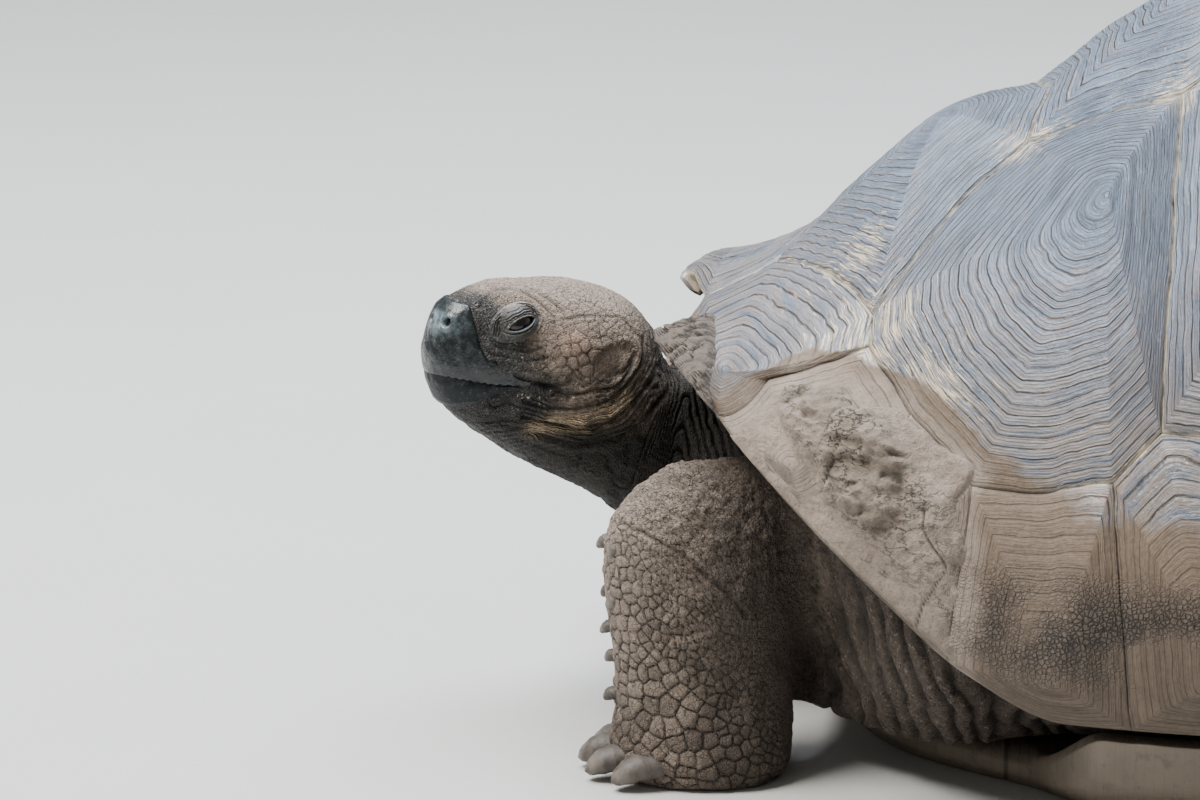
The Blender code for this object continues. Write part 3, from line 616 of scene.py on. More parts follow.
# painted shade in the ring grooves under the pale mud, with the fine ring lines
pale_mud = ((groove + hair * 0.5) * 0.25).blend(pale_mud, (0.060, 0.046, 0.035))
earth = (coated.ramp(0.15, 0.85) * 0.95).blend(earth, pale_mud)
colour = cake.blend(colour, earth)
rough = 0.16 + thread * 0.26 + cake * 0.48
relief = thread * 0.9 + fine * 0.35 + (0 - hair) * 0.35 - groove * 0.5 - crackled * 1.6 + patchy * 0.4
relief = relief + coated * (crumbs * 0.5 + patchy * 0.8)
finish_with(horn_finish, colour, rough, bump=relief, depth=0.0013)
for piece in plates:
    piece.data.materials.append(horn_finish)


# ---- mud --------------------------------------------------------------------------------
# Thick mud has dried on the front of the rim: a smooth coat that broke off in steps where it
# lies thickest, with a few long cracks, and a dark crumbling cap on each front corner.
def mud_sheet(word, side, seed, fineness):
    """A coat of mud on one side of the rim; where there is none it dips below the horn."""
    y, share = np.meshgrid(np.linspace(-0.5485, -0.264, round(214 * fineness)),
                           np.linspace(1.0, 0.28, round(200 * fineness)), indexing="ij")
    plain = shell_surface(np.stack([y, share * width_at(y) / half_width * side], -1))
    x, z = np.abs(plain[..., 0]), plain[..., 2]
    coat = front_mud(plain)
    cap = np.minimum((-0.497 - y) / 0.009, (x - 0.062) / 0.012) - (9 if side < 0 else 0)
    ragged = 1.3 * drift(plain, 0.034, 110, 5)
    cover = np.maximum(coat, cap) + ragged
    capped = soft_step(cap - coat, -0.5, 0.5)
    slant = ((y + 0.3885) * 0.67 - (z - 0.2515) * 0.74, (y + 0.3885) * 0.74 + (z - 0.2515) * 0.67)
    slant = [way + 0.010 * drift(plain, 0.030, seed + 15 + k, 3) for k, way in enumerate(slant)]
    heap = np.exp(-(slant[0] / 0.074) ** 4 - (slant[1] / 0.028) ** 6)
    torn = plain + 0.005 * np.stack([drift(plain, 0.012, seed + k, 4) for k in (11, 12, 13)], -1)
    rise = 1.6 * drift(torn * (1, 0.7, 1.2), 0.036, seed + 1, 3)
    step = soft_step(rise, -0.42, -0.16) + 0.8 * soft_step(rise, 0.30, 0.52)
    flakes = 1 - 2.2 * np.abs(drift(torn * (1, 0.55, 1.7), 0.0125, seed + 2, 4))
    thick = (0.0056 + 0.0060 * step) * heap + 0.0027 * (heap + 0.10) * np.clip(flakes, -1, 1)
    thick += 0.0012 * heap * drift(plain, 0.0055, seed + 10, 2)
    thick += 0.0012 * drift(plain, 0.040, seed + 3, 3) + 0.0007 * drift(plain, 0.008, seed + 4, 2)
    long_crack = np.exp(-(drift(plain, 0.055, seed + 5, 3) / 0.022) ** 2)
    long_crack *= soft_step(drift(plain, 0.050, seed + 6), 0.05, 0.25) * (1 - capped)
    blocks = np.minimum(np.abs(drift(plain, 0.021, seed + 7, 4)), np.abs(drift(plain, 0.017, seed + 8, 4)))
    block_crack = np.exp(-(blocks / 0.055) ** 2) * capped
    thick += capped * (0.0046 + 0.0040 * drift(plain, 0.013, seed + 9, 4))
    crack = np.maximum(long_crack, block_crack)
    thick -= (0.0016 + 0.0012 * capped) * crack
    held = soft_step(cover, -0.5, 0.6)
    lift = -0.0070 + (0.0082 + 0.0016 * capped) * held + thick * soft_step(cover, -0.2, 1.0)
    lift -= 0.0120 * soft_step(share, 0.965, 1.0) ** 2
    points = shell_surface(np.stack([y, share * width_at(y) / half_width * side], -1), lift)
    rows, columns = y.shape
    i, j = np.meshgrid(np.arange(rows - 1), np.arange(columns - 1), indexing="ij")
    here = i * columns + j
    kept = held[:-1, :-1] > 0.02
    faces = np.stack([here, here + 1, here + columns + 1, here + columns], -1)[kept]
    used, faces = np.unique(faces, return_inverse=True)
    faces = faces.reshape(-1, 4)
    if side > 0:
        faces = faces[:, ::-1]
    # hollow: where painted shade goes, in the hollows between the flakes.
    hollow = soft_step(-flakes, 0.05, 0.50) * heap
    # ledge: where painted shadow goes, below the edges of the steps.
    ledge = np.exp(-((rise + 0.40) / 0.09) ** 2) + np.exp(-((rise - 0.32) / 0.08) ** 2)
    numbers = {"crack": crack, "capped": capped, "heap": heap, "hollow": hollow,
               "ledge": ledge * heap * soft_step(drift(plain, 0.020, seed + 14, 2), -0.2, 0.2)}
    piece = make_piece(f"mud_{word}", points.reshape(-1, 3)[used], [faces],
                       {label: values.ravel()[used] for label, values in numbers.items()})
    thicken = piece.modifiers.new("thickness", "SOLIDIFY")
    thicken.thickness = 0.0030
    thicken.offset = -1
    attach(piece, "root")
    return piece


mud_finish, wire = new_finish("dried_mud")
crack, capped, heap = [wire.carried(name) for name in ("crack", "capped", "heap")]
broad, lumpy, grain = wire.noise(22.0, 4), wire.noise(120.0, 5, 0.7), wire.noise(700.0, 3)
crumbs = wire.noise(320.0, 3)
colour = (broad * 1.0 + lumpy * 0.8 - 0.45).blend((0.115, 0.086, 0.062), (0.400, 0.328, 0.265))
colour = (crumbs.ramp(0.58, 0.68) * 0.45).blend(colour, (0.095, 0.076, 0.058))
colour = (heap * lumpy.ramp(0.42, 0.60) * 0.55).blend(colour, (0.130, 0.112, 0.086))
# painted shade in the hollows between the flakes
colour = (wire.carried("hollow") * 0.80).blend(colour, (0.048, 0.040, 0.031))
# painted shadow below the edges of the mud's steps
colour = (wire.carried("ledge") * 0.75).blend(colour, (0.035, 0.028, 0.022))
colour = (capped * 0.92).blend(colour, (lumpy * 1.6 - 0.3).blend((0.028, 0.021, 0.016), (0.185, 0.148, 0.118)))
fibres = wire.noise(1.0, 5, 0.7, wire.stretched((60, 45, 110)))
flaky = (fibres - 0.5).maths("ABSOLUTE").ramp(0.006, 0.022, 1, 0) * broad.ramp(0.42, 0.56) * (heap * 0.8 + 0.2)
colour = (flaky * 0.85).blend(colour, (0.026, 0.021, 0.016))
colour = (crack * 0.9).blend(colour, (0.012, 0.010, 0.008))
colour = (grain.ramp(0.62, 0.75) * 0.35).blend(colour, (0.070, 0.058, 0.048))
finish_with(mud_finish, colour, 0.80, bump=lumpy * 1.6 + grain * 0.4 - flaky * 0.6, depth=0.0022)
for word, side, seed, fineness in (("left", 1, 110, 1.0), ("right", -1, 140, 0.7)):
    mud_sheet(word, side, seed, fineness).data.materials.append(mud_finish)


# ---- skin -------------------------------------------------------------------------------
# One skin covers the head, the drawn-back neck, the legs, the tail and the body inside the
# shell. It is thick and scaly: beads on the head and throat, cracked plates on the forelegs,
# and deep folds where the neck and the shoulders draw in.
nape = np.array([0, shell_shift - 0.55, 0.253])
head_yaw, head_pitch = math.radians(27), math.radians(10)      # turned to its left, nose up
head_forward = np.array([math.sin(head_yaw) * math.cos(head_pitch),
                         -math.cos(head_yaw) * math.cos(head_pitch), math.sin(head_pitch)])
head_left = np.array([math.cos(head_yaw), math.sin(head_yaw), 0])
head_frame = np.stack([head_forward, head_left, np.cross(head_forward, head_left)])
head_squareness = 2.35

# the head's half width, top and underside at places from nape to beak
head_side = smooth_curve((0.010, 0.0490), (0.036, 0.0590), (0.058, 0.0635), (0.080, 0.0615),
                         (0.100, 0.0560), (0.118, 0.0495), (0.146, 0.0385), (0.159, 0.0330),
                         (0.1705, 0.0270), (0.179, 0.0205), (0.184, 0.0135), (0.1855, 0.002))
head_top = smooth_curve((0.010, 0.0190), (0.036, 0.0415), (0.058, 0.0490), (0.090, 0.0515),
                        (0.118, 0.0480), (0.146, 0.0435), (0.159, 0.0400), (0.1705, 0.0345),
                        (0.179, 0.0265), (0.184, 0.0150), (0.1855, -0.001))
head_floor = smooth_curve((0.010, -0.1165), (0.036, -0.1070), (0.080, -0.0945), (0.118, -0.0795),
                          (0.146, -0.0660), (0.159, -0.0590), (0.1705, -0.0490),
                          (0.179, -0.0360), (0.184, -0.0240), (0.1855, -0.010))


def in_head(points):
    """Points as (along, beside, above) the head's own axis."""
    return (points - nape) @ head_frame.T


def from_head(places):
    """The reverse of in_head."""
    return nape + np.asarray(places) @ head_frame


def head_fill(places):
    """Below 1 inside the plain head, 1 on its skin and more outside."""
    along, beside, above = np.moveaxis(np.asarray(places), -1, 0)
    inside = np.clip(along, 0.010, 0.1855)
    top, low = head_top(inside), head_floor(inside)
    wide = head_side(inside) * (1 - 0.10 * soft_step(-above, 0.030, 0.085))
    fill = np.abs(beside / wide) ** head_squareness
    fill += np.abs((above - (top + low) / 2) / ((top - low) / 2)) ** head_squareness
    return np.where(along < 0.1855, fill, 2.0)


def skin_along(start, way, furthest):
    """How far from start, going a certain way, the head's plain skin is reached."""
    near = np.zeros(np.broadcast(start[..., 0], way[..., 0]).shape)
    far = near + furthest
    for _ in range(24):
        middle = (near + far) / 2
        inside = head_fill(start + way * middle[..., None]) < 1
        near, far = np.where(inside, middle, near), np.where(inside, far, middle)
    return near


def face_form(along, above):
    """The forms of brow, temple, lip and the hollow before the eye, as seen from the side."""
    form = 0.0028 * np.exp(-((along - 0.136) / 0.015) ** 2 - ((above - 0.0405) / 0.008) ** 2)
    form += 0.0026 * np.exp(-((along - 0.090) / 0.015) ** 2 - ((above - 0.012) / 0.014) ** 2)
    form -= 0.0026 * np.exp(-((along - 0.157) / 0.008) ** 2 - ((above - 0.012) / 0.010) ** 2)
    form += 0.0020 * np.exp(-((above + 0.0125) / 0.0050) ** 2) * soft_step(along, 0.095, 0.120)
    return form


def oval_ring(centre, across, up, half_side, half_up, squareness=2.2, sides=48):
    """Ring of points round a centre, fuller than an ellipse if squareness is over 2."""
    angle = np.linspace(0, 2 * math.pi, sides, endpoint=False)
    x = np.sign(np.cos(angle)) * np.abs(np.cos(angle)) ** (2 / squareness) * half_side
    z = np.sign(np.sin(angle)) * np.abs(np.sin(angle)) ** (2 / squareness) * half_up
    return np.asarray(centre) + x[:, None] * across + z[:, None] * up


def smooth_path(stations, steps=8):
    """Rows of numbers, filled in between by a smooth curve."""
    rows = np.array(stations, float)
    order = np.arange(len(rows))
    fine = np.linspace(0, len(rows) - 1, (len(rows) - 1) * steps + 1)
    return np.stack([smooth_curve(*zip(order, column))(fine) for column in rows.T], -1)


def limb_rings(stations, squareness=2.2):
    """Rings across a path of (x, y, z, half width, half height) stations."""
    rows = smooth_path(stations)
    runs = np.gradient(rows[:, :3], axis=0)
    rings = []
    for row, run in zip(rows, runs):
        up = np.cross((1, 0, 0), run)
        up /= np.linalg.norm(up)
        across = np.cross(run / np.linalg.norm(run), up)
        rings.append(oval_ring(row[:3] + (0, shell_shift, 0), across, up, row[3], row[4], squareness))
    return np.array(rings)


def pillar_rings(stations):
    """Level rings of a standing limb: (height, x, y, half width, half length) stations."""
    axes = np.eye(3)
    return np.array([oval_ring((x, y + shell_shift, z), axes[0], axes[1], wide, long, 2.3)
                     for z, x, y, wide, long in smooth_path(stations)])


def closed_form(rings):
    """Points and faces of a closed form through rings of equally many points."""
    rows, count = len(rings), len(rings[0])
    points = np.concatenate([rings.reshape(-1, 3), [rings[0].mean(0), rings[-1].mean(0)]])
    total = rows * count
    return points, [grid_faces(rows, count), fan_faces(0, count, total, True),
                    fan_faces(total - count, count, total + 1, False)]


def body_rings():
    """The body inside the shell, rounded off in front and behind."""
    inset = smooth_curve((-0.44, 0.125), (-0.405, 0.090), (-0.375, 0.052), (-0.33, 0.055),
                         (-0.29, 0.105), (0.29, 0.105),
                         (0.34, 0.050), (0.46, 0.050))
    belly = smooth_curve((-0.44, 0.150), (-0.38, 0.220), (-0.32, 0.240), (-0.25, 0.205),
                         (0.22, 0.205), (0.30, 0.210), (0.38, 0.200), (0.46, 0.130))
    ground = 0.031
    rings = []
    for y in np.linspace(-0.44, 0.46, 46):
        reach = np.linspace(-0.84, 0.84, 31) * width_at(y) / half_width
        arch = shell_surface(np.stack([np.full_like(reach, y), reach], -1), np.full(31, -0.0235))
        wall, low = width_at(y) - inset(y), (rim_height(y) + ground) / 2
        side = np.array([(wall, low), (belly(y), ground), (belly(y) * 0.4, ground)])
        left = np.stack([side[:, 0], np.full(3, y + shell_shift), side[:, 1]], -1)
        rings.append(np.concatenate([arch, left, left[::-1] * (-1, 1, 1)]))
    ends = []
    for source, slides in ((rings[0], (-0.018, -0.012)), (rings[-1], (0.012, 0.008))):
        middle = source.mean(0)
        ends.append([middle + (source - middle) * share + (0, slide, 0)
                     for share, slide in zip((0.72, 0.88), slides)])
    return np.array(ends[0] + rings + ends[1][::-1])


places = np.concatenate([np.arange(0.010, 0.176, 0.005), [0.179, 0.182, 0.184, 0.185, 0.1855]])
head_rings = []
for along in places:
    middle, half = (head_top(along) + head_floor(along)) / 2, (head_top(along) - head_floor(along)) / 2
    ring = oval_ring((along, 0, middle), np.array([0, 1, 0]), np.array([0, 0, 1]),
                     head_side(along), half, head_squareness)
    ring[:, 1] *= 1 - 0.10 * soft_step(-ring[:, 2], 0.030, 0.085)      # the jaw is narrower
    head_rings.append(from_head(ring))
neck = [(0.003, -0.556, 0.213, 0.050, 0.070), (0.010, -0.566, 0.214, 0.054, 0.073),
        (0.006, -0.535, 0.185, 0.052, 0.068), (0.002, -0.490, 0.168, 0.065, 0.079),
        (0.000, -0.440, 0.156, 0.073, 0.085), (0.000, -0.380, 0.155, 0.076, 0.086)]
forearm = [(0.000, 0.203, -0.507, 0.056, 0.063), (0.014, 0.203, -0.507, 0.060, 0.067),
           (0.050, 0.202, -0.505, 0.055, 0.064), (0.090, 0.201, -0.507, 0.053, 0.064),
           (0.130, 0.200, -0.510, 0.054, 0.0665), (0.162, 0.199, -0.512, 0.054, 0.067),
           (0.185, 0.198, -0.511, 0.050, 0.062), (0.205, 0.197, -0.506, 0.041, 0.050),
           (0.218, 0.196, -0.501, 0.029, 0.038), (0.226, 0.195, -0.498, 0.014, 0.018)]
upper_arm = [(0.193, -0.510, 0.172, 0.042, 0.053), (0.188, -0.485, 0.173, 0.044, 0.055),
             (0.172, -0.452, 0.160, 0.042, 0.056), (0.160, -0.415, 0.152, 0.048, 0.060),
             (0.155, -0.345, 0.148, 0.052, 0.060)]
shank = [(0.000, 0.235, 0.392, 0.058, 0.062), (0.014, 0.235, 0.392, 0.061, 0.065),
         (0.045, 0.233, 0.390, 0.057, 0.061), (0.075, 0.229, 0.384, 0.054, 0.058),
         (0.098, 0.222, 0.374, 0.045, 0.050), (0.114, 0.216, 0.365, 0.028, 0.032)]
thigh = [(0.222, 0.372, 0.072, 0.042, 0.038), (0.205, 0.330, 0.082, 0.048, 0.042),
         (0.185, 0.290, 0.090, 0.048, 0.042)]
tail = [(0.000, 0.430, 0.085, 0.042, 0.034), (0.008, 0.470, 0.076, 0.034, 0.028),
        (0.026, 0.500, 0.062, 0.024, 0.021), (0.050, 0.515, 0.048, 0.014, 0.013),
        (0.070, 0.5185, 0.039, 0.003, 0.003)]
limbs = [pillar_rings(forearm), limb_rings(upper_arm), pillar_rings(shank), limb_rings(thigh)]
forms = [closed_form(rings) for rings in
         [np.array(head_rings), limb_rings(neck[1:], head_squareness), limb_rings(tail), body_rings()]
         + limbs + [(rings * (-1, 1, 1))[:, ::-1] for rings in limbs]]


def join_forms(forms, voxel):
    """One closed mesh round overlapping forms."""
    starts = np.cumsum([0] + [len(points) for points, _ in forms])
    faces = [block + start for (_, blocks), start in zip(forms, starts) for block in blocks]
    rough = make_piece("rough", np.concatenate([points for points, _ in forms]), faces)
    step = rough.modifiers.new("join", "REMESH")
    step.mode = "VOXEL"
    step.voxel_size = voxel
    graph = bpy.context.evaluated_depsgraph_get()
    mesh = bpy.data.meshes.new_from_object(rough.evaluated_get(graph))
    bpy.data.objects.remove(rough)
    return mesh


def points_of(mesh, what="co"):
    """The points of a mesh, or the way each one faces."""
    values = np.empty(len(mesh.vertices) * 3, np.float32)
    mesh.vertices.foreach_get(what, values)
    return values.reshape(-1, 3).astype(np.float64)


def relax(mesh, times, share=0.5):
    """Smooths a mesh by moving each point towards the middle of its neighbours."""
    points, edges = points_of(mesh), np.empty(len(mesh.edges) * 2, np.int32)
    mesh.edges.foreach_get("vertices", edges)
    near, far = edges.reshape(-1, 2).T
    count = len(points)
    degree = np.bincount(edges, minlength=count)[:, None]
    for _ in range(times):
        total = np.stack([np.bincount(near, points[far, k], count) + np.bincount(far, points[near, k], count)
                          for k in range(3)], -1)
        points += (total / degree - points) * share
    mesh.vertices.foreach_set("co", points.astype(np.float32).ravel())
    mesh.update()


def refine(mesh, wanted):
    """Halves the faces of a mesh whose points are wanted, and smooths what it adds."""
    form = bmesh.new()
    form.from_mesh(mesh)
    chosen = [edge for edge in form.edges if wanted[edge.verts[0].index] and wanted[edge.verts[1].index]]
    bmesh.ops.subdivide_edges(form, edges=chosen, cuts=1, use_grid_fill=True)
    form.to_mesh(mesh)
    form.free()
    relax(mesh, 2)


skin_mesh = join_forms(forms, 0.0088)
relax(skin_mesh, 3)
for level in range(3):
    spots = points_of(skin_mesh)
    x, shell_y, z = spots[:, 0], spots[:, 1] - shell_shift, spots[:, 2]
    seen = (z < rim_height(np.clip(shell_y, -0.52, 0.55)) + (0.03, 0.02, 0.01)[level]) | (shell_y < -0.46)
    seen &= (z > 0.034) | (np.abs(x) > 0.12) & (np.abs(shell_y) > 0.30)
    if level == 2:
        seen &= (x > -0.07) & (shell_y < -0.43) & (z > 0.004)
    refine(skin_mesh, seen & ((shell_y < -0.24) | (shell_y > 0.28)))

# what each point of the skin belongs to
spots = points_of(skin_mesh)
along, beside, above = in_head(spots).T
side_on = np.stack([along, above], -1)
shell_y = spots[:, 1] - shell_shift
on_head = soft_step(along, -0.002, 0.028) * (np.abs(beside) < 0.080) * (above > -0.135)
limb_x = np.abs(spots[:, 0])
on_foreleg = soft_step(limb_x, 0.125, 0.150) * soft_step(-shell_y, 0.405, 0.440)
on_foreleg *= 1 - on_head * (limb_x < 0.14)
on_hindleg = soft_step(limb_x, 0.130, 0.160) * soft_step(shell_y, 0.290, 0.320)
eye_place = np.array([0.1335, 0.0335, 0.0205])
slit_rise = math.radians(27)         # the eye's back corner stands higher than its front
lid_front, lid_back, lid_up, lid_down = 0.0215, 0.0190, 0.0150, 0.0125


def eye_axes(side):
    """An eye's directions in the head's axes: back along its slit, up, and outward."""
    out = np.array([0.02, side, 0.16])
    out /= np.linalg.norm(out)
    back = np.array([-math.cos(slit_rise), -0.30 * side, math.sin(slit_rise)])
    back -= out * (back @ out)
    back /= np.linalg.norm(back)
    return np.stack([back, np.cross(out, back) * side, out])


def lid_share(x, y):
    """0 at the middle of an eye, 1 at the outer edge of its lids."""
    return np.hypot(x / np.where(x < 0, lid_front, lid_back), y / np.where(y > 0, lid_up, lid_down))


mirrored_head = np.stack([along, np.abs(beside), above], -1)
from_lids = (mirrored_head - eye_place) @ eye_axes(1).T
from_eye = np.linalg.norm(mirrored_head - eye_place, axis=-1)
under_lids = soft_step(-lid_share(from_lids[:, 0], from_lids[:, 1]), -0.91, -0.74) * (from_eye < 0.03)


def smooth_line(corners, steps=6):
    """A line through a few corners, rounded between them."""
    return smooth_path(corners, steps)


def line_distance(places, line):
    """Distance in a plane from each place to a broken line."""
    best = np.full(len(places), 9.0)
    for start, end in zip(line, line[1:]):
        run = end - start
        share = np.clip((places - start) @ run / (run @ run), 0, 1)
        best = np.minimum(best, np.linalg.norm(places - start - share[:, None] * run, axis=-1))
    return best


def scale_size():
    """How wide the scales are at each point of the skin."""
    size = np.full(len(spots), 0.0050)
    head = np.full(len(spots), 0.0056)
    temple = np.exp(-((along - 0.080) / 0.024) ** 2 - ((above - 0.004) / 0.024) ** 2)
    head += 0.0052 * temple
    head -= 0.0030 * soft_step(-from_eye, -0.034, -0.018)
    head = np.where(above < -0.024, 0.0036 + 0.0012 * soft_step(above, -0.06, -0.03), head)
    size = size + (head - size) * on_head
    neck_share = soft_step(-along, -0.03, 0.01) * (limb_x < 0.10) * (shell_y < -0.38)
    size = size + (0.0036 - size) * neck_share
    low_front = soft_step(-shell_y - 0.7 * (spots[:, 2] - 0.10), 0.455, 0.560)
    size = size + (0.0044 + 0.0076 * low_front - size) * on_foreleg
    size = size + (0.0115 - 0.004 * soft_step(spots[:, 2], 0.05, 0.11) - size) * on_hindleg
    return size


def scales_on(points, sizes, areas, seed):
    """Scatters scale centres, spaces them evenly and finds for each point its scale.

    Returns how far each point lies from the scale's border and the scale's own random tone.
    """
    chance = np.random.default_rng(seed)
    weight = areas / sizes ** 2
    count = int(weight.sum() / 0.87)
    centres = points[chance.choice(len(points), count, replace=False, p=weight / weight.sum())]
    sample = chance.choice(len(points), min(len(points), count * 14), replace=False)
    for _ in range(2):
        nearest = nearest_two(points[sample], centres, 1)[0][:, 0]
        pull = weight[sample]
        total = np.bincount(nearest, pull, count)
        moved = np.stack([np.bincount(nearest, pull * points[sample, k], count) for k in range(3)], -1)
        centres = np.where(total[:, None] > 0, moved / np.maximum(total, 1e-12)[:, None], centres)
    found, gaps = nearest_two(points, centres, 2)
    apart = np.linalg.norm(centres[found[:, 0]] - centres[found[:, 1]], axis=-1)
    border = (gaps[:, 1] ** 2 - gaps[:, 0] ** 2) / (2 * np.maximum(apart, 1e-6))
    return border, chance.random(count)[found[:, 0]]


def nearest_two(points, centres, wanted):
    """Which centres lie nearest to each point, and how far."""
    tree = KDTree(len(centres))
    for i, centre in enumerate(centres):
        tree.insert(centre, i)
    tree.balance()
    hits = [tree.find_n(point, wanted) for point in points]
    order = np.array([[hit[1] for hit in row] for row in hits])
    gaps = np.array([[hit[2] for hit in row] for row in hits])
    return order, gaps


def point_areas(mesh):
    """The patch of surface that each point stands for."""
    edges = np.empty(len(mesh.edges) * 2, np.int32)
    mesh.edges.foreach_get("vertices", edges)
    near, far = edges.reshape(-1, 2).T
    points = points_of(mesh)
    length = np.linalg.norm(points[near] - points[far], axis=-1)
    count = len(points)
    total = np.bincount(near, length, count) + np.bincount(far, length, count)
    return (total / np.bincount(edges, minlength=count)) ** 2


areas = point_areas(skin_mesh)
size = scale_size()
wobbled = spots + 0.0009 * np.stack([drift(spots, 0.006, seed) for seed in (1, 2, 3)], -1)
dressed = areas < 0.0030 ** 2                       # the parts fine enough to carry scales
border, tone = np.full(len(spots), 0.01), np.full(len(spots), 0.5)
border[dressed], tone[dressed] = scales_on(wobbled[dressed], size[dressed], areas[dressed], 4)

# lines on the side of the head: (corners along and above, depth, width)
folds = [([(0.152, -0.0205), (0.118, -0.0200), (0.104, -0.0215), (0.094, -0.0270)], 0.0030, 0.0020),
         ([(0.146, -0.0095), (0.124, -0.0105), (0.108, -0.0140)], 0.0009, 0.0020),
         ([(0.104, -0.0260), (0.085, -0.0230), (0.066, -0.0165), (0.052, -0.0040), (0.047, 0.0100)],
          0.0010, 0.0012),
         ([(0.122, -0.0350), (0.096, -0.0360), (0.068, -0.0280), (0.051, -0.0115), (0.040, 0.0070),
           (0.038, 0.022)], 0.0014, 0.0014),
         ([(0.121, -0.0470), (0.089, -0.0490), (0.057, -0.0380), (0.035, -0.0150), (0.023, 0.0040),
           (0.020, 0.020)], 0.0018, 0.0016),
         ([(0.112, -0.0590), (0.080, -0.0620), (0.048, -0.0520), (0.022, -0.0260), (0.010, -0.0040)],
          0.0020, 0.0018),
         ([(0.1115, 0.0253), (0.0907, 0.0304), (0.0581, 0.0344), (0.0399, 0.0210)], 0.0004, 0.0010),
         ([(0.098, 0.002), (0.090, -0.010), (0.078, -0.016)], 0.0006, 0.0009),
         ([(0.160, 0.0285), (0.149, 0.0375), (0.133, 0.0410), (0.117, 0.0370), (0.108, 0.0285)], 0.0011, 0.0010),
         ([(0.163, 0.0340), (0.150, 0.0425), (0.133, 0.0460), (0.114, 0.0425), (0.101, 0.0335)], 0.0009, 0.0010),
         ([(0.161, 0.0230), (0.158, 0.0120), (0.147, 0.0040), (0.131, 0.0020), (0.116, 0.0075)], 0.0010, 0.0010),
         ([(0.166, 0.0200), (0.161, 0.0060), (0.147, -0.0030), (0.128, -0.0040), (0.112, 0.0010)], 0.0008, 0.0010)]
warped = side_on + 0.0032 * np.stack([drift(spots, 0.018, 21, 3), drift(spots, 0.018, 22, 3)], -1)
on_side = on_head * soft_step(np.abs(beside), 0.006, 0.020)
relief = np.zeros(len(spots))
# fold_shade: painted shade in the folds, furrows and pleats, carried to the finish as furrow.
fold_shade = np.zeros(len(spots))
gaps = []
for corners, depth, width in folds:
    gap = line_distance(warped, smooth_line(corners))
    gaps.append(gap)
    cut = np.exp(-(gap / width) ** 2) * on_side * np.clip(0.75 + 0.7 * drift(spots, 0.011, 23, 2), 0, 1.2)
    relief += -depth * cut + 0.20 * depth * np.exp(-((gap - 2.4 * width) / (1.4 * width)) ** 2) * on_side
    fold_shade = np.maximum(fold_shade, cut)

# small wrinkles run between the three folds that sweep round the ear, and on down the neck
inner, middle, outer, last = gaps[2], gaps[3], gaps[4], gaps[5]
sweep = np.where(inner + middle < middle + outer, inner / (inner + middle + 1e-6),
                 np.where(middle + outer < outer + last, 1 + middle / (middle + outer + 1e-6),
                          2 + outer / (outer + last + 1e-6)))
neck_way = np.clip(-along + 0.25 * above, -0.02, 0.2) / 0.0056
sweep = sweep * 3.8 * on_head + neck_way
sweep += (0.40 + 0.55 * on_head) * drift(spots, 0.024, 31, 3) + 0.30 * drift(spots, 0.008, 32)
part = sweep - np.floor(sweep)
cross = (along + 1.3 * above) / 0.0075 + 1.1 * drift(spots, 0.020, 35, 3)
lasting = 0.45 + 0.55 * soft_step(drift(spots * (1, 1, 0.55), 0.016, 33), -0.35, 0.25)
furrow = np.exp(-((part - 0.5) / 0.17) ** 2) * lasting
crossing = np.exp(-((cross - np.floor(cross) - 0.5) / 0.13) ** 2) * soft_step(drift(spots, 0.012, 36), -0.1, 0.3)
on_neck = soft_step(-along, -0.050, -0.005) * soft_step(-limb_x, -0.135, -0.080) * soft_step(-shell_y, 0.36, 0.40)
round_ear = on_side * np.exp(-np.minimum.reduce([inner, middle, outer, last]) ** 2 / 0.014 ** 2)
round_ear *= 1 - soft_step(above, 0.006, 0.026)
under_jaw = on_head * soft_step(-above, 0.022, 0.040) * soft_step(-along, -0.158, -0.138)
furrow_share = np.maximum(np.maximum(on_neck, 0.90 * round_ear), 0.85 * under_jaw)
relief -= (0.0013 + 0.0019 * on_neck) * furrow * furrow_share
relief -= 0.0007 * crossing * np.maximum(under_jaw, round_ear) * (1 - on_neck)
relief += 0.0006 * np.maximum(under_jaw, round_ear) * drift(spots, 0.0045, 37, 2)
relief += 0.0016 * on_neck * drift(spots, 0.022, 34, 2)
fold_shade = np.maximum(fold_shade, furrow * furrow_share)

# loose skin hangs in upright folds behind the forelegs and round the shoulders
on_flank = (1 - on_head) * (1 - on_foreleg) * (1 - on_hindleg) * (1 - on_neck)
pleats = (shell_y + 0.25 * spots[:, 2]) / 0.016 + 0.9 * drift(spots, 0.060, 41, 2)
pleats += (limb_x / 0.022) * (np.abs(shell_y) > 0.44) + 0.35 * drift(spots * (1, 1, 0.4), 0.014, 42, 2)
pleat = np.clip(np.abs(pleats % 1 - 0.5) * 2 + 0.25 * drift(spots, 0.020, 43, 2), 0, 1)
relief -= 0.0058 * (1 - pleat) ** 3 * on_flank * dressed
relief += 0.0012 * on_flank * dressed * drift(spots * (1, 1, 0.35), 0.006, 44, 2)
# painted shade in the hollows of the pleats
fold_shade = np.maximum(fold_shade, 0.9 * (1 - pleat) ** 2 * on_flank)
arm_crease = smooth_line([(-0.560, 0.187), (-0.525, 0.176), (-0.497, 0.155), (-0.472, 0.130)])
crease_gap = line_distance(np.stack([shell_y, spots[:, 2]], -1)
                           + 0.003 * np.stack([drift(spots, 0.02, 51), drift(spots, 0.02, 52)], -1),
                           arm_crease)
relief += on_foreleg * (0.0009 * np.exp(-((crease_gap - 0.003) / 0.0022) ** 2)
                        - 0.0016 * np.exp(-(crease_gap / 0.0014) ** 2))

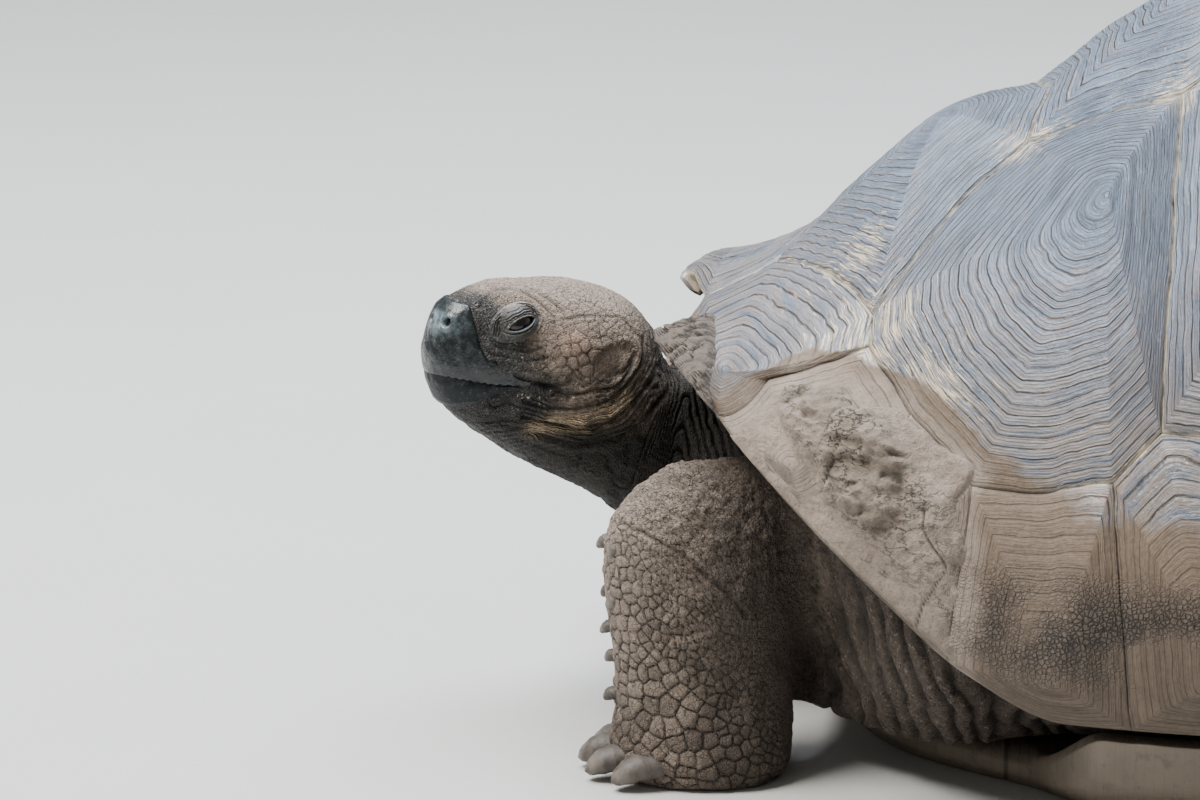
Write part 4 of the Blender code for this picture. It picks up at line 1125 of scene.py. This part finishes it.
# brow, temple and lip, and the ear, a smooth oval in a low rim
ear = np.sqrt(((along - 0.062) / 0.0165) ** 2 + ((above - 0.003 + 0.25 * (along - 0.062)) / 0.0115) ** 2)
on_ear = soft_step(-ear, -1.15, -0.80) * on_side
relief += face_form(along, above) * on_side
relief -= 0.0013 * on_ear
relief += 0.0007 * np.exp(-((ear - 1.30) / 0.18) ** 2) * on_side

# the scales stand up from the furrows between them
smooth_here = np.maximum(1.25 * on_ear, 0.65 * np.maximum(on_neck, round_ear))
scale_depth = size * (0.075 + 0.050 * np.maximum(on_foreleg, on_hindleg)) * (1 - np.minimum(smooth_here, 1))
crack = np.clip(1 - border / ((0.085 + 0.05 * drift(spots, 0.016, 64, 2)) * size), 0, 1)
plate = np.clip(border / (0.30 * size), 0, 1) ** 0.5
relief += scale_depth * (0.7 * plate - 0.9 * crack + 0.7 * (tone - 0.5)) * dressed
relief += 0.0011 * drift(spots, 0.028, 61, 3) * (1 - on_head) + 0.0007 * drift(spots, 0.012, 62, 3)
crumbs = on_foreleg * soft_step(spots[:, 2] + 0.5 * (shell_y + 0.5), 0.145, 0.205)
relief += (0.0018 * crumbs + 0.0008 * on_foreleg) * drift(spots, 0.0065, 63, 2)
relief += 0.0014 * on_foreleg * drift(spots, 0.017, 65, 2)
relief -= 0.0011                                   # so that the bumps stay within the solids

# the skin sinks away behind the lids
relief -= 0.0060 * under_lids * on_head
standing = spots[:, 2] < 0.003
relief[standing] = 0
facing = points_of(skin_mesh, "normal")
skin_mesh.vertices.foreach_set("co", (spots + facing * relief[:, None]).astype(np.float32).ravel())
skin_mesh.update()



def face_dark(along, above):
    """The dark mask round the beak, along the lips and under the eye."""
    places = np.stack([along, above, 0 * along], -1)
    along, above = along + 0.006 * drift(places, 0.016, 66, 3), above + 0.004 * drift(places, 0.014, 67, 3)
    mask = soft_step(along - 0.75 * np.maximum(above, 0), 0.108, 0.130) * soft_step(-above, -0.043, -0.033)
    return np.maximum(mask, soft_step(along, 0.082, 0.116) * soft_step(-above, 0.004, 0.020))


dark_face = face_dark(along, above) * on_head
# Painted shade under the head and over the drawn-in neck.
throat = np.maximum(on_head * soft_step(-above - 0.004 * drift(spots, 0.02, 68, 2), 0.030, 0.056), on_neck)
shade = np.maximum(on_flank, on_foreleg * soft_step(shell_y, -0.525, -0.480))
# Dust, with painted light: the head's top and the foreleg's front are made paler where the light falls on them.
dust = on_head * soft_step(above + 0.004 * drift(spots, 0.02, 69, 2), 0.012, 0.044)
dust = np.maximum(dust, 0.75 * on_foreleg * soft_step(-shell_y, 0.515, 0.565) * soft_step(spots[:, 2], 0.03, 0.10))
stripe = line_distance(side_on, smooth_line([(0.1085, -0.054), (0.0906, -0.045), (0.0759, -0.0436),
                                             (0.0592, -0.0307), (0.0500, -0.0241)]))
stripe = np.exp(-(stripe / 0.0068) ** 2) * on_side * soft_step(drift(spots, 0.014, 70, 3), -0.45, 0.10)
flush = np.exp(-((along - 0.095) / 0.010) ** 2 - ((above - 0.013) / 0.009) ** 2) * on_side
carry(skin_mesh, {"crack": crack * dressed * (1 - np.minimum(smooth_here, 1)),
                  "furrow": fold_shade, "scale_tone": tone, "dark_face": dark_face, "throat": throat,
                  "stripe": stripe, "flush": flush, "mud": np.maximum(on_foreleg, on_hindleg),
                  "shade": shade, "dust": dust, "flow": sweep,
                  "wrinkled": np.maximum(furrow_share, 0.6 * on_flank)})
skin = bpy.data.objects.new("skin", skin_mesh)
bpy.context.scene.collection.objects.link(skin)
skin_mesh.shade_smooth()

skin_finish, wire = new_finish("tortoise_skin")
crack, furrow, face, mud = [wire.carried(name) for name in ("crack", "furrow", "dark_face", "mud")]
cloudy, patchy, grain = wire.noise(38.0, 4), wire.noise(150.0, 4, 0.65), wire.noise(420.0, 3)
tone = wire.carried("scale_tone")
colour = (cloudy * 0.8 + tone * 0.40 + patchy * 0.4 - 0.32).blend((0.085, 0.062, 0.046), (0.355, 0.278, 0.216))
leg = (cloudy * 0.7 + tone * 0.5 + patchy * 0.6 - 0.45).blend((0.042, 0.031, 0.023), (0.320, 0.250, 0.194))
split = wire.cells(210.0).ramp(0.0, 0.06, 1, 0) * patchy.ramp(0.44, 0.54)
leg = (split * 0.75).blend(leg, (0.016, 0.012, 0.009))
colour = mud.blend(colour, leg)
# dust and painted light on the head's top and the foreleg's front
colour = (wire.carried("dust") * (patchy * 0.9 + 0.30)).blend(colour, (0.375, 0.300, 0.245))
colour = (wire.carried("shade") * 0.82).blend(
    colour, (patchy * 1.0).blend((0.024, 0.018, 0.014), (0.112, 0.085, 0.066)))
colour = (face * (1.15 - patchy * 0.35)).blend(colour, (0.022, 0.025, 0.025))
flow_line = (wire.carried("flow") * 2.6 + wire.noise(75.0, 3) * 2.4).maths("FRACT")
fine_fold = flow_line.ramp(0.0, 0.30, 1, 0) * wire.carried("wrinkled") * patchy.ramp(0.35, 0.55)
# painted shade under the head and on the neck
colour = (wire.carried("throat") * 0.95).blend(colour, (0.009, 0.008, 0.006))
pale_line = (wire.carried("flow") * 3.4 + wire.noise(110.0, 3) * 1.6).maths("FRACT").ramp(0.30, 0.62)
colour = (wire.carried("stripe") * pale_line * 1.3).blend(colour, (0.780, 0.600, 0.370))
flecks = wire.noise(560.0, 2).ramp(0.57, 0.64) * (1 - furrow) * (wire.carried("wrinkled") + face * 0.8 + 0.25)
flecks = flecks * (1 - wire.carried("throat") * 0.85)
colour = (flecks * patchy.ramp(0.42, 0.60) * 0.55 * (1 - mud * 0.6)).blend(colour, (0.460, 0.425, 0.370))
# painted shade in the fine wrinkles
colour = (fine_fold * 0.55).blend(colour, (0.014, 0.011, 0.009))
colour = (wire.carried("flush") * 0.6).blend(colour, (0.300, 0.175, 0.135))
colour = (crack * 0.94).blend(colour, (0.012, 0.009, 0.007))
# painted shade in the folds, furrows and pleats
colour = (furrow * 0.88).blend(colour, (0.007, 0.006, 0.005))
colour = (grain.ramp(0.35, 0.65) * 0.28).blend(colour, (0.050, 0.040, 0.032))
rough = 0.78 - face * 0.22 - grain * 0.1
wrinkled = wire.cells(520.0).ramp(0.0, 0.25)
relief = grain * 0.8 + wrinkled * 0.5 + patchy * 0.8 - fine_fold * 1.2 - split * mud
finish_with(skin_finish, colour, rough, bump=relief, depth=0.0012, **{"Specular IOR Level": 0.35})
skin_mesh.materials.append(skin_finish)
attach(skin, "root")
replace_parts(skin, "trunk", "head", "neck", "foreleg_left", "foreleg_right", "hindleg_left",
            "hindleg_right", "tail")


# ---- beaks ------------------------------------------------------------------------------
# The jaws have no teeth but sheaths of dark horn that grow from the skin of the lips. The
# upper one carries the nostrils and laps over the lower one at the mouth.
beak_heart = 0.140                   # where along the head the beaks' upright middle line is
mouth_height = -0.0225
mouth_corner = math.radians(112)


def snout_point(turn, above, lift):
    """A point on the snout, lifted away from its skin."""
    start = np.stack([0 * turn + beak_heart, 0 * turn, above], -1)
    way = np.stack([np.cos(turn), np.sin(turn), 0 * turn], -1)
    return from_head(start + way * (skin_along(start, way, 0.060) + lift)[..., None])


def beak_sheet(name, low, high, lift, numbers):
    """A horn sheath between two heights (each a curve of the turn), with its edges turned in."""
    turn = np.linspace(-mouth_corner, mouth_corner, 180)
    share = np.concatenate([[0, 0, 0], np.linspace(0, 1, 60), [1, 1]])
    tuck = np.concatenate([[-0.010, -0.005, -0.0015], np.zeros(60), [-0.002, -0.005]])
    t, v = np.meshgrid(turn, share)
    above = low(t) + (high(t) - low(t)) * v
    stand = lift(t, v, above) + tuck[:, None]
    points = snout_point(t, above, stand)
    rows, columns = t.shape
    i, j = np.meshgrid(np.arange(rows - 1), np.arange(columns - 1), indexing="ij")
    here = (i * columns + j).ravel()
    faces = np.stack([here, here + 1, here + columns + 1, here + columns], -1)
    extra = numbers(t, v, above)
    piece = make_piece(name, points.reshape(-1, 3), [faces],
                       {label: values.ravel() for label, values in extra.items()})
    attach(piece, "root")
    return piece


nostrils = [(0.38, 0.0135), (-0.03, 0.0125)]          # turn and height of each


def nostril_gap(turn, above):
    """Distance to the nearer nostril, in nostril radii."""
    gaps = [np.sqrt(((turn - t) * 0.044 / 0.0030) ** 2 + ((above - h) / 0.0032) ** 2) for t, h in nostrils]
    return np.minimum(*gaps)


def upper_high(turn):
    """How high the upper horn reaches: over the nostrils in front, low along the lips."""
    wide = np.abs(turn)
    return 0.0275 - 0.0345 * soft_step(wide, 0.55, 1.30) - 0.0120 * soft_step(wide, 1.25, 1.95)


def upper_low(turn):
    """The cutting edge of the upper horn, a little lower in front."""
    notches = 0.0005 * np.sin(turn * 46) * (np.abs(turn) > 0.5)
    return mouth_height - 0.0022 - 0.0022 * np.exp(-(turn / 0.35) ** 2) + 0.0022 * soft_step(
        np.abs(turn), 1.3, 1.95) + notches


def upper_lift(turn, share, above):
    spot = np.stack([turn * 0.04, above, 0 * turn], -1)
    swell = 0.0012 + 0.0011 * np.exp(-((above + 0.013) / 0.010) ** 2)
    swell = swell + 0.0007 * drift(spot, 0.011, 71, 3)
    swell = swell * soft_step(1 - share, 0.0, 0.10) * soft_step(mouth_corner - np.abs(turn), 0, 0.25)
    nose = 0.0010 * np.exp(-((nostril_gap(turn, above) - 1.5) / 0.5) ** 2)
    return swell - 0.0014 + nose - 0.0055 * soft_step(-nostril_gap(turn, above), -1.15, -0.55)


def upper_numbers(turn, share, above):
    round_nose = np.exp(-((above - 0.012) / 0.007) ** 2 - ((turn - 0.17) / 0.34) ** 2)
    return {"nose": np.clip(1.3 * round_nose, 0, 1),
            "hole": soft_step(-nostril_gap(turn, above), -1.10, -0.80)}


def lower_low(turn):
    wide = np.abs(turn)
    return mouth_height - 0.0260 + 0.0060 * soft_step(wide, 0.4, 1.2) + 0.0185 * soft_step(wide, 1.0, 1.95)


def lower_high(turn):
    return np.full(np.shape(turn), mouth_height - 0.0012)


def lower_lift(turn, share, above):
    spot = np.stack([turn * 0.04, above, 0 * turn], -1)
    swell = 0.0010 + 0.0006 * drift(spot, 0.010, 73, 3)
    swell = swell * soft_step(share, 0.0, 0.12) * soft_step(mouth_corner - np.abs(turn), 0, 0.25)
    return swell - 0.0010 - 0.0012 * soft_step(share, 0.6, 1.0)


upper_beak = beak_sheet("upper_beak", upper_low, upper_high, upper_lift, upper_numbers)
lower_beak = beak_sheet("lower_beak", lower_low, lower_high, lower_lift,
                        lambda turn, share, above: {"nose": 0 * turn, "hole": 0 * turn})
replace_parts(upper_beak, "head")
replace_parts(lower_beak, "lower_jaw")
for piece, shine, gleam in ((upper_beak, 0.14, 0.55), (lower_beak, 0.30, 0.22)):
    beak_finish, wire = new_finish(f"{piece.name}_finish")
    mottle, grain, scuffs = wire.noise(230.0, 4), wire.noise(900.0, 2), wire.noise(480.0, 3)
    colour = mottle.ramp(0.45, 0.75).blend((0.004, 0.006, 0.007), (0.019, 0.027, 0.030))
    nose = wire.carried("nose") * (mottle * 2.2 - 0.55)
    colour = nose.blend(colour, (0.230, 0.300, 0.340))
    colour = (scuffs.ramp(0.62, 0.68) * mottle.ramp(0.45, 0.60) * 0.3).blend(colour, (0.190, 0.215, 0.205))
    # painted shade inside the nostrils
    colour = wire.carried("hole").blend(colour, (0.002, 0.002, 0.003))
    finish_with(beak_finish, colour, shine + mottle * 0.26, bump=mottle * 0.7 + grain * 0.15, depth=0.0010,
                **{"Specular IOR Level": gleam})
    piece.data.materials.append(beak_finish)


# ---- eyes -------------------------------------------------------------------------------
# Dark, wet eyeballs sit in the sides of the head. A thick wrinkled lid closes over each from
# above and a smooth bluish one rises from below, and they meet at the two corners.
eye_radius = 0.0125
opening_length, opening_up, opening_down = 0.0103, 0.0043, 0.0031


def make_lids(side, word):
    """Both lids as one ring-shaped sheet from the rim of the opening out to the cheek."""
    centre, axes = eye_place * (1, side, 1), eye_axes(side)
    turn = np.linspace(0, 2 * math.pi, 260, endpoint=False)
    share = np.concatenate([[-0.16, -0.10, -0.05, -0.02], np.linspace(0, 1, 54) ** 1.2])
    t, v = np.meshgrid(turn, share)
    rim_x = opening_length * np.cos(t)
    rim_y = np.where(np.sin(t) > 0, opening_up, opening_down) * np.sin(t) * np.abs(np.sin(t)) ** 0.3
    far_x = np.where(np.cos(t) < 0, lid_front, lid_back) * np.cos(t)
    far_y = np.where(np.sin(t) > 0, lid_up, lid_down) * np.sin(t)
    out = np.clip(v, 0, 1)
    x, y = rim_x + (far_x - rim_x) * out, rim_y + (far_y - rim_y) * out
    flat = centre + x[..., None] * axes[0] + y[..., None] * axes[1]
    cheek = skin_along(flat, axes[2], 0.05)
    here = flat + cheek[..., None] * axes[2]
    cheek = cheek + face_form(here[..., 0], here[..., 2]) - 0.0011
    ball = np.sqrt(np.clip((eye_radius + 0.0017) ** 2 - x * x - y * y, 1e-8, 1))
    soft = 0.0026
    height = soft * np.log(np.exp(ball / soft) + np.exp(cheek / soft))
    upper = soft_step(y, -0.0012, 0.0012)
    spots = np.stack([x, y, 0 * x + side], -1)
    row_share = out * (4.6 + 1.2 * upper) + 0.95 * drift(spots, 0.0075, 81, 2) + 0.35 * drift(spots, 0.003, 85)
    row = np.floor(row_share)
    fold = 1 - (np.abs(row_share % 1 - 0.5) * 2) ** 2
    round_rim = t * (0.010 + 0.010 * out) / 0.0030 + row * 0.5 + 0.5 * drift(spots, 0.005, 84)
    bead = np.abs(np.sin(math.pi * round_rim)) ** 0.6
    beaded = soft_step(out, 0.12, 0.30) * (0.25 + 0.75 * upper) * (1 - 0.75 * soft_step(out, 0.7, 1.0))
    folded = 0.00155 * beaded * (fold - 0.5) * (0.55 + 0.45 * bead)
    rolled = 0.0012 * np.exp(-((out - 0.08) / 0.05) ** 2)
    crease = 0.0012 * np.exp(-((out - 0.24) / 0.035) ** 2) * (1 - upper)
    hood = 0.0016 * np.exp(-((y - 0.0090) / 0.0035) ** 2 - (x / 0.014) ** 2)
    height = height + folded + rolled - crease + hood + 0.0003 * drift(spots, 0.0016, 82, 2)
    height = height - 0.0024 * soft_step(out, 0.93, 1.0)
    inner = np.clip(-v / 0.16, 0, 1)
    bare = np.sqrt(np.clip(eye_radius ** 2 - x * x - y * y, 1e-8, 1))
    height = np.where(v < 0, height + (bare - 0.0012 - height) * inner ** 0.6, height)
    shrink = 1 + 0.05 * np.sin(inner * math.pi)
    points = flat + ((shrink - 1) * x)[..., None] * axes[0] + ((shrink - 1) * y)[..., None] * axes[1]
    points = from_head(points + height[..., None] * axes[2])
    rows, columns = t.shape
    faces = grid_faces(rows, columns)
    if side > 0:
        faces = faces[:, ::-1]
    # dents: the creases between the lid's folds, which get painted shade
    dents = np.clip(1 - fold * (0.4 + 0.6 * bead), 0, 1) * beaded + crease / 0.0012
    numbers = {"rim": np.exp(-((out - 0.07) / 0.07) ** 2) * (1 - upper), "upper_lid": upper,
               "crease": np.clip(dents, 0, 1), "out": out,
               "pale": np.exp(-((out - 0.33) / 0.06) ** 2) * (1 - upper),
               "dark_face": face_dark(here[..., 0], here[..., 2])}
    return make_piece(f"lids_{word}", points.reshape(-1, 3), [faces],
                      {label: values.ravel() for label, values in numbers.items()})


def make_eyeball(side, word):
    """A round eyeball, its iris and pupil told apart by distance from where it looks."""
    centre, axes = from_head(eye_place * (1, side, 1)), eye_axes(side) @ head_frame
    tilt, turn = np.meshgrid(np.linspace(0.02, math.pi - 0.02, 60), np.linspace(0, 2 * math.pi, 90, endpoint=False),
                             indexing="ij")
    local = np.stack([np.sin(tilt) * np.cos(turn), np.sin(tilt) * np.sin(turn), np.cos(tilt)], -1)
    points = (centre + (local * eye_radius) @ axes).reshape(-1, 3)
    points = np.concatenate([points, [centre + axes[2] * eye_radius, centre - axes[2] * eye_radius]])
    total = tilt.size
    faces = [grid_faces(60, 90), fan_faces(0, 90, total, True), fan_faces(total - 90, 90, total + 1, False)]
    off_gaze = np.concatenate([np.hypot(local[..., 0] + 0.05, local[..., 1]).ravel(), [0.05, 0.05]])
    return make_piece(f"eyeball_{word}", points, facing_out(points, faces), {"off_gaze": off_gaze})


lid_finish, wire = new_finish("eyelid")
cloudy, grain = wire.noise(38.0, 4), wire.noise(600.0, 3)
colour = (cloudy * 0.8 + 0.05).blend((0.130, 0.100, 0.080), (0.400, 0.335, 0.285))
colour = (wire.carried("dark_face") * 0.95).blend(colour, (0.022, 0.025, 0.025))
near_eye = wire.carried("out").ramp(0.60, 1.05, 1, 0)
colour = (near_eye * 0.90).blend(colour, (0.034, 0.034, 0.032))
specks = wire.noise(560.0, 2).ramp(0.57, 0.64) * cloudy.ramp(0.35, 0.55)
colour = (specks * 0.45).blend(colour, (0.380, 0.370, 0.340))
colour = (wire.carried("pale") * 0.30).blend(colour, (0.330, 0.290, 0.190))
# painted shade in the creases between the lid's folds
colour = (wire.carried("crease") * 0.85).blend(colour, (0.013, 0.012, 0.012))
colour = (wire.carried("rim") * 0.80).blend(colour, (0.120, 0.165, 0.200))
colour = (grain.ramp(0.35, 0.65) * 0.3).blend(colour, (0.050, 0.047, 0.045))
finish_with(lid_finish, colour, 0.50, bump=grain, depth=0.0008)
eye_finish, wire = new_finish("eyeball")
off = wire.carried("off_gaze")
colour = off.ramp(0.30, 0.36).blend((0.003, 0.003, 0.004), (0.030, 0.020, 0.014))
colour = off.ramp(0.62, 0.72).blend(colour, (0.010, 0.009, 0.009))
finish_with(eye_finish, colour, 0.04, **{"Specular IOR Level": 0.5})
for side, word in ((1, "left"), (-1, "right")):
    lids, eyeball = make_lids(side, word), make_eyeball(side, word)
    lids.data.materials.append(lid_finish)
    eyeball.data.materials.append(eye_finish)
    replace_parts(eyeball, f"eye_{word}")
    for piece, kind in ((lids, "skin"), (eyeball, "eye")):
        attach(piece, "root")

# ---- claws and spurs --------------------------------------------------------------------
# Blunt claws of thick horn grow from the feet, five in front and four behind. Dark pointed
# scales, worn like the claws, stand out along the front of each foreleg.
def horn_cones(name, cones):
    """Curved, closed cones as one mesh: (root, tip, radius, droop, bluntness) for each."""
    points, faces, numbers, start = [], [], {"lengthwise": [], "round": []}, 0
    sides = 20
    angle = np.linspace(0, 2 * math.pi, sides, endpoint=False)
    for root, tip, radius, droop, bluntness in cones:
        root, tip = np.array(root), np.array(tip)
        length = np.linalg.norm(tip - root)
        way = (tip - root) / length
        across = np.cross(way, (0, 0, 1))
        across /= np.linalg.norm(across)
        up = np.cross(across, way)
        share = np.linspace(-0.5, 1, 22)
        rings = []
        for s in share:
            grow = max(s, 0)
            wide = radius * (1 - grow ** bluntness) ** 0.6 + 0.0004
            wide = wide * (1 + 0.04 * math.sin(s * 23))
            heart = root + way * s * length + up * droop * math.sin(math.pi * min(grow, 1))
            ring = heart + wide * (np.cos(angle)[:, None] * across + 0.78 * np.sin(angle)[:, None] * up)
            rings.append(ring)
        form, blocks = closed_form(np.array(rings))
        form[:, 2] = np.maximum(form[:, 2], 0.0004)
        points.append(form)
        faces += [block + start for block in facing_out(form, blocks)]
        start += len(form)
        numbers["lengthwise"].append(np.concatenate([np.repeat(share, sides), [0, 1]]))
        numbers["round"].append(np.concatenate([np.tile(angle, len(share)), [0, 0]]))
    piece = make_piece(name, np.concatenate(points), faces,
                       {label: np.concatenate(values) for label, values in numbers.items()})
    piece.data.materials.append(claw_finish)
    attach(piece, "root")
    return piece


claw_finish, wire = new_finish("claw_horn")
lengthwise = wire.carried("lengthwise")
streak, grain = wire.noise(90.0, 4), wire.noise(500.0, 3)
colour = (streak * 1.4 - 0.2).blend((0.030, 0.025, 0.022), (0.115, 0.098, 0.082))
colour = (lengthwise.ramp(0.45, 1.0) * streak.ramp(0.35, 0.6) * 0.6).blend(colour, (0.260, 0.225, 0.185))
colour = (grain.ramp(0.55, 0.72) * 0.4).blend(colour, (0.150, 0.118, 0.090))
finish_with(claw_finish, colour, 0.42 + streak * 0.3, bump=streak + grain * 0.4, depth=0.0008)

for side, word in ((1, "left"), (-1, "right")):
    fore, hind, spurs = [], [], []
    for turn in np.radians(-60 + 30 * np.arange(5)):
        x, y = 0.203 + 0.050 * math.sin(turn), -0.507 - 0.056 * math.cos(turn)
        fore.append(((x, y, 0.0165), (x + 0.014 * math.sin(turn), y - 0.032, 0.0070), 0.0124, 0.0030, 3.0))
    for turn in np.radians(-50 + 32 * np.arange(4)):
        x, y = 0.235 + 0.054 * math.cos(turn), 0.392 + 0.056 * math.sin(turn)
        hind.append(((x, y, 0.0155), (x + 0.028 * math.cos(turn), y + 0.020 * math.sin(turn), 0.0065),
                     0.0114, 0.0028, 3.0))
    shape = smooth_curve(*[(row[0], row[3]) for row in forearm]), smooth_curve(*[(row[0], row[4]) for row in forearm])
    for i, height in enumerate((0.168, 0.150, 0.131, 0.108, 0.083, 0.058)):
        for turn in (np.array((-0.55, 0.02, 0.50)) + 0.18 * (i % 2))[:3 if i < 3 else 2]:
            way = np.array([math.sin(turn), -math.cos(turn), -0.45])
            root = np.array([0.2 + (shape[0](height) - 0.0050) * way[0],
                             -0.5095 + (shape[1](height) - 0.0050) * way[1], height])
            reach = 0.0088 + 0.0022 * math.cos(2.1 * i + 3 * turn)
            spurs.append((root, root + way * reach, 0.0066 + 0.0012 * math.sin(3 * i + 5 * turn), 0.0012, 1.9))
    for cones, name, node in ((fore, "claws_foreleg", "foreleg"), (hind, "claws_hindleg", "hindleg"),
                              (spurs, "spurs_foreleg", "foreleg")):
        placed = [((root[0] * side, root[1] + shell_shift, root[2]),
                   (tip[0] * side, tip[1] + shell_shift, tip[2]), *rest) for root, tip, *rest in cones]
        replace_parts(horn_cones(f"{name}_{word}", placed), f"{node}_{word}")

# ---- plastron ---------------------------------------------------------------------------
# The belly plate is flat horn over bone. It is split by a middle seam and cross seams, and
# a bridge on each flank rises from it to the lower edge of the shell.
plastron_front, plastron_rear, plastron_thickness = -0.40, 0.43, 0.028
plastron_half = smooth_curve((plastron_front, 0.085), (-0.36, 0.150), (-0.28, 0.215), (-0.20, 0.265),
                             (0.00, 0.280), (0.20, 0.255), (0.28, 0.190), (0.36, 0.135),
                             (plastron_rear, 0.090))
bridge_share = smooth_curve((plastron_front, 0.0), (-0.275, 0.0), (-0.222, 1.0), (0.220, 1.0),
                            (0.270, 0.0), (plastron_rear, 0.0))
rings, cross_seams = [], []
ends = np.array([0.0, 0.003, 0.008, 0.015])
stations = np.concatenate([plastron_front + ends, np.linspace(-0.38, 0.41, 150), plastron_rear - ends[::-1]])
for y in stations:
    flat, share, lip, rim = plastron_half(y), bridge_share(y), width_at(y), rim_height(y)
    plain = np.array([(0, 0), (flat * 0.6, 0), (flat, 0), (flat + 0.012, 0.005), (flat + 0.018, 0.012),
                      (flat + 0.018, 0.018), (flat + 0.012, 0.024), (flat - 0.010, plastron_thickness),
                      (flat * 0.5, plastron_thickness), (0, plastron_thickness)])
    winged = np.array([(0, 0), (flat * 0.6, 0), (flat, 0), (flat + 0.050, 0.016),
                       (lip - 0.024, rim - 0.046), (lip - 0.008, rim - 0.011), (lip - 0.030, rim - 0.012),
                       (flat - 0.004, plastron_thickness), (flat * 0.5, plastron_thickness),
                       (0, plastron_thickness)])
    half = smooth_path(plain + (winged - plain) * share, 6)
    loop = np.concatenate([half, half[-2:0:-1] * (-1, 1)])
    end_gap = min(y - plastron_front, plastron_rear - y)
    round_end = 0.009 * (1 - min(end_gap / 0.015, 1)) ** 2
    loop[:, 1] = np.clip(loop[:, 1], round_end, plastron_thickness - round_end + 9 * share)
    loop[:, 0] *= 1 - 0.12 * (1 - min(end_gap / 0.015, 1)) ** 2
    seam_y = min(abs(y - place) for place in (-0.290, -0.150, 0.000, 0.150, 0.290))
    rings.append(np.stack([loop[:, 0], np.full(len(loop), y + shell_shift), loop[:, 1]], -1))
    cross_seams.append(np.full(len(loop), seam_y))
rings, cross_seams = np.array(rings), np.array(cross_seams)
to_seam = np.minimum(np.abs(rings[..., 0]), cross_seams)
points, faces = closed_form(rings)
relief = 0.0010 * drift(points, 0.040, 301, 3) + 0.0004 * drift(points, 0.010, 302, 2)
points[:, 2] += np.where(points[:, 2] > 0.0015, relief, 0)
seam_share = np.concatenate([np.exp(-(to_seam.ravel() / 0.0030) ** 2), [0, 0]])
points[:, 2] += 0.0012 * seam_share * (points[:, 2] < 0.0015)
points[:, 2] = np.maximum(points[:, 2], 0)
plastron = make_piece("plastron_horn", points, facing_out(points, faces), {"to_seam": np.append(to_seam.ravel(), [0.1, 0.1])})
belly_finish, wire = new_finish("belly_horn")
broad, patchy, grain = wire.noise(12.0, 4), wire.noise(70.0, 4, 0.65), wire.noise(400.0, 3)
rings_on = (wire.carried("to_seam") * 150.0 + patchy * 0.8).maths("FRACT").ramp(0.70, 0.95)
colour = (broad * 0.9 + patchy * 0.4 - 0.2).blend((0.075, 0.058, 0.042), (0.235, 0.190, 0.142))
colour = (rings_on * 0.08).blend(colour, (0.070, 0.055, 0.042))
colour = (patchy.ramp(0.52, 0.68) * 0.6).blend(colour, (0.085, 0.066, 0.050))
colour = (wire.carried("to_seam").ramp(0.0008, 0.0026, 1, 0) * 0.85).blend(colour, (0.040, 0.031, 0.024))
finish_with(belly_finish, colour, 0.55 + patchy * 0.2, bump=patchy + grain * 0.4 - rings_on * 0.4, depth=0.0008)
plastron.data.materials.append(belly_finish)
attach(plastron, "root")
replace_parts(plastron, "plastron")
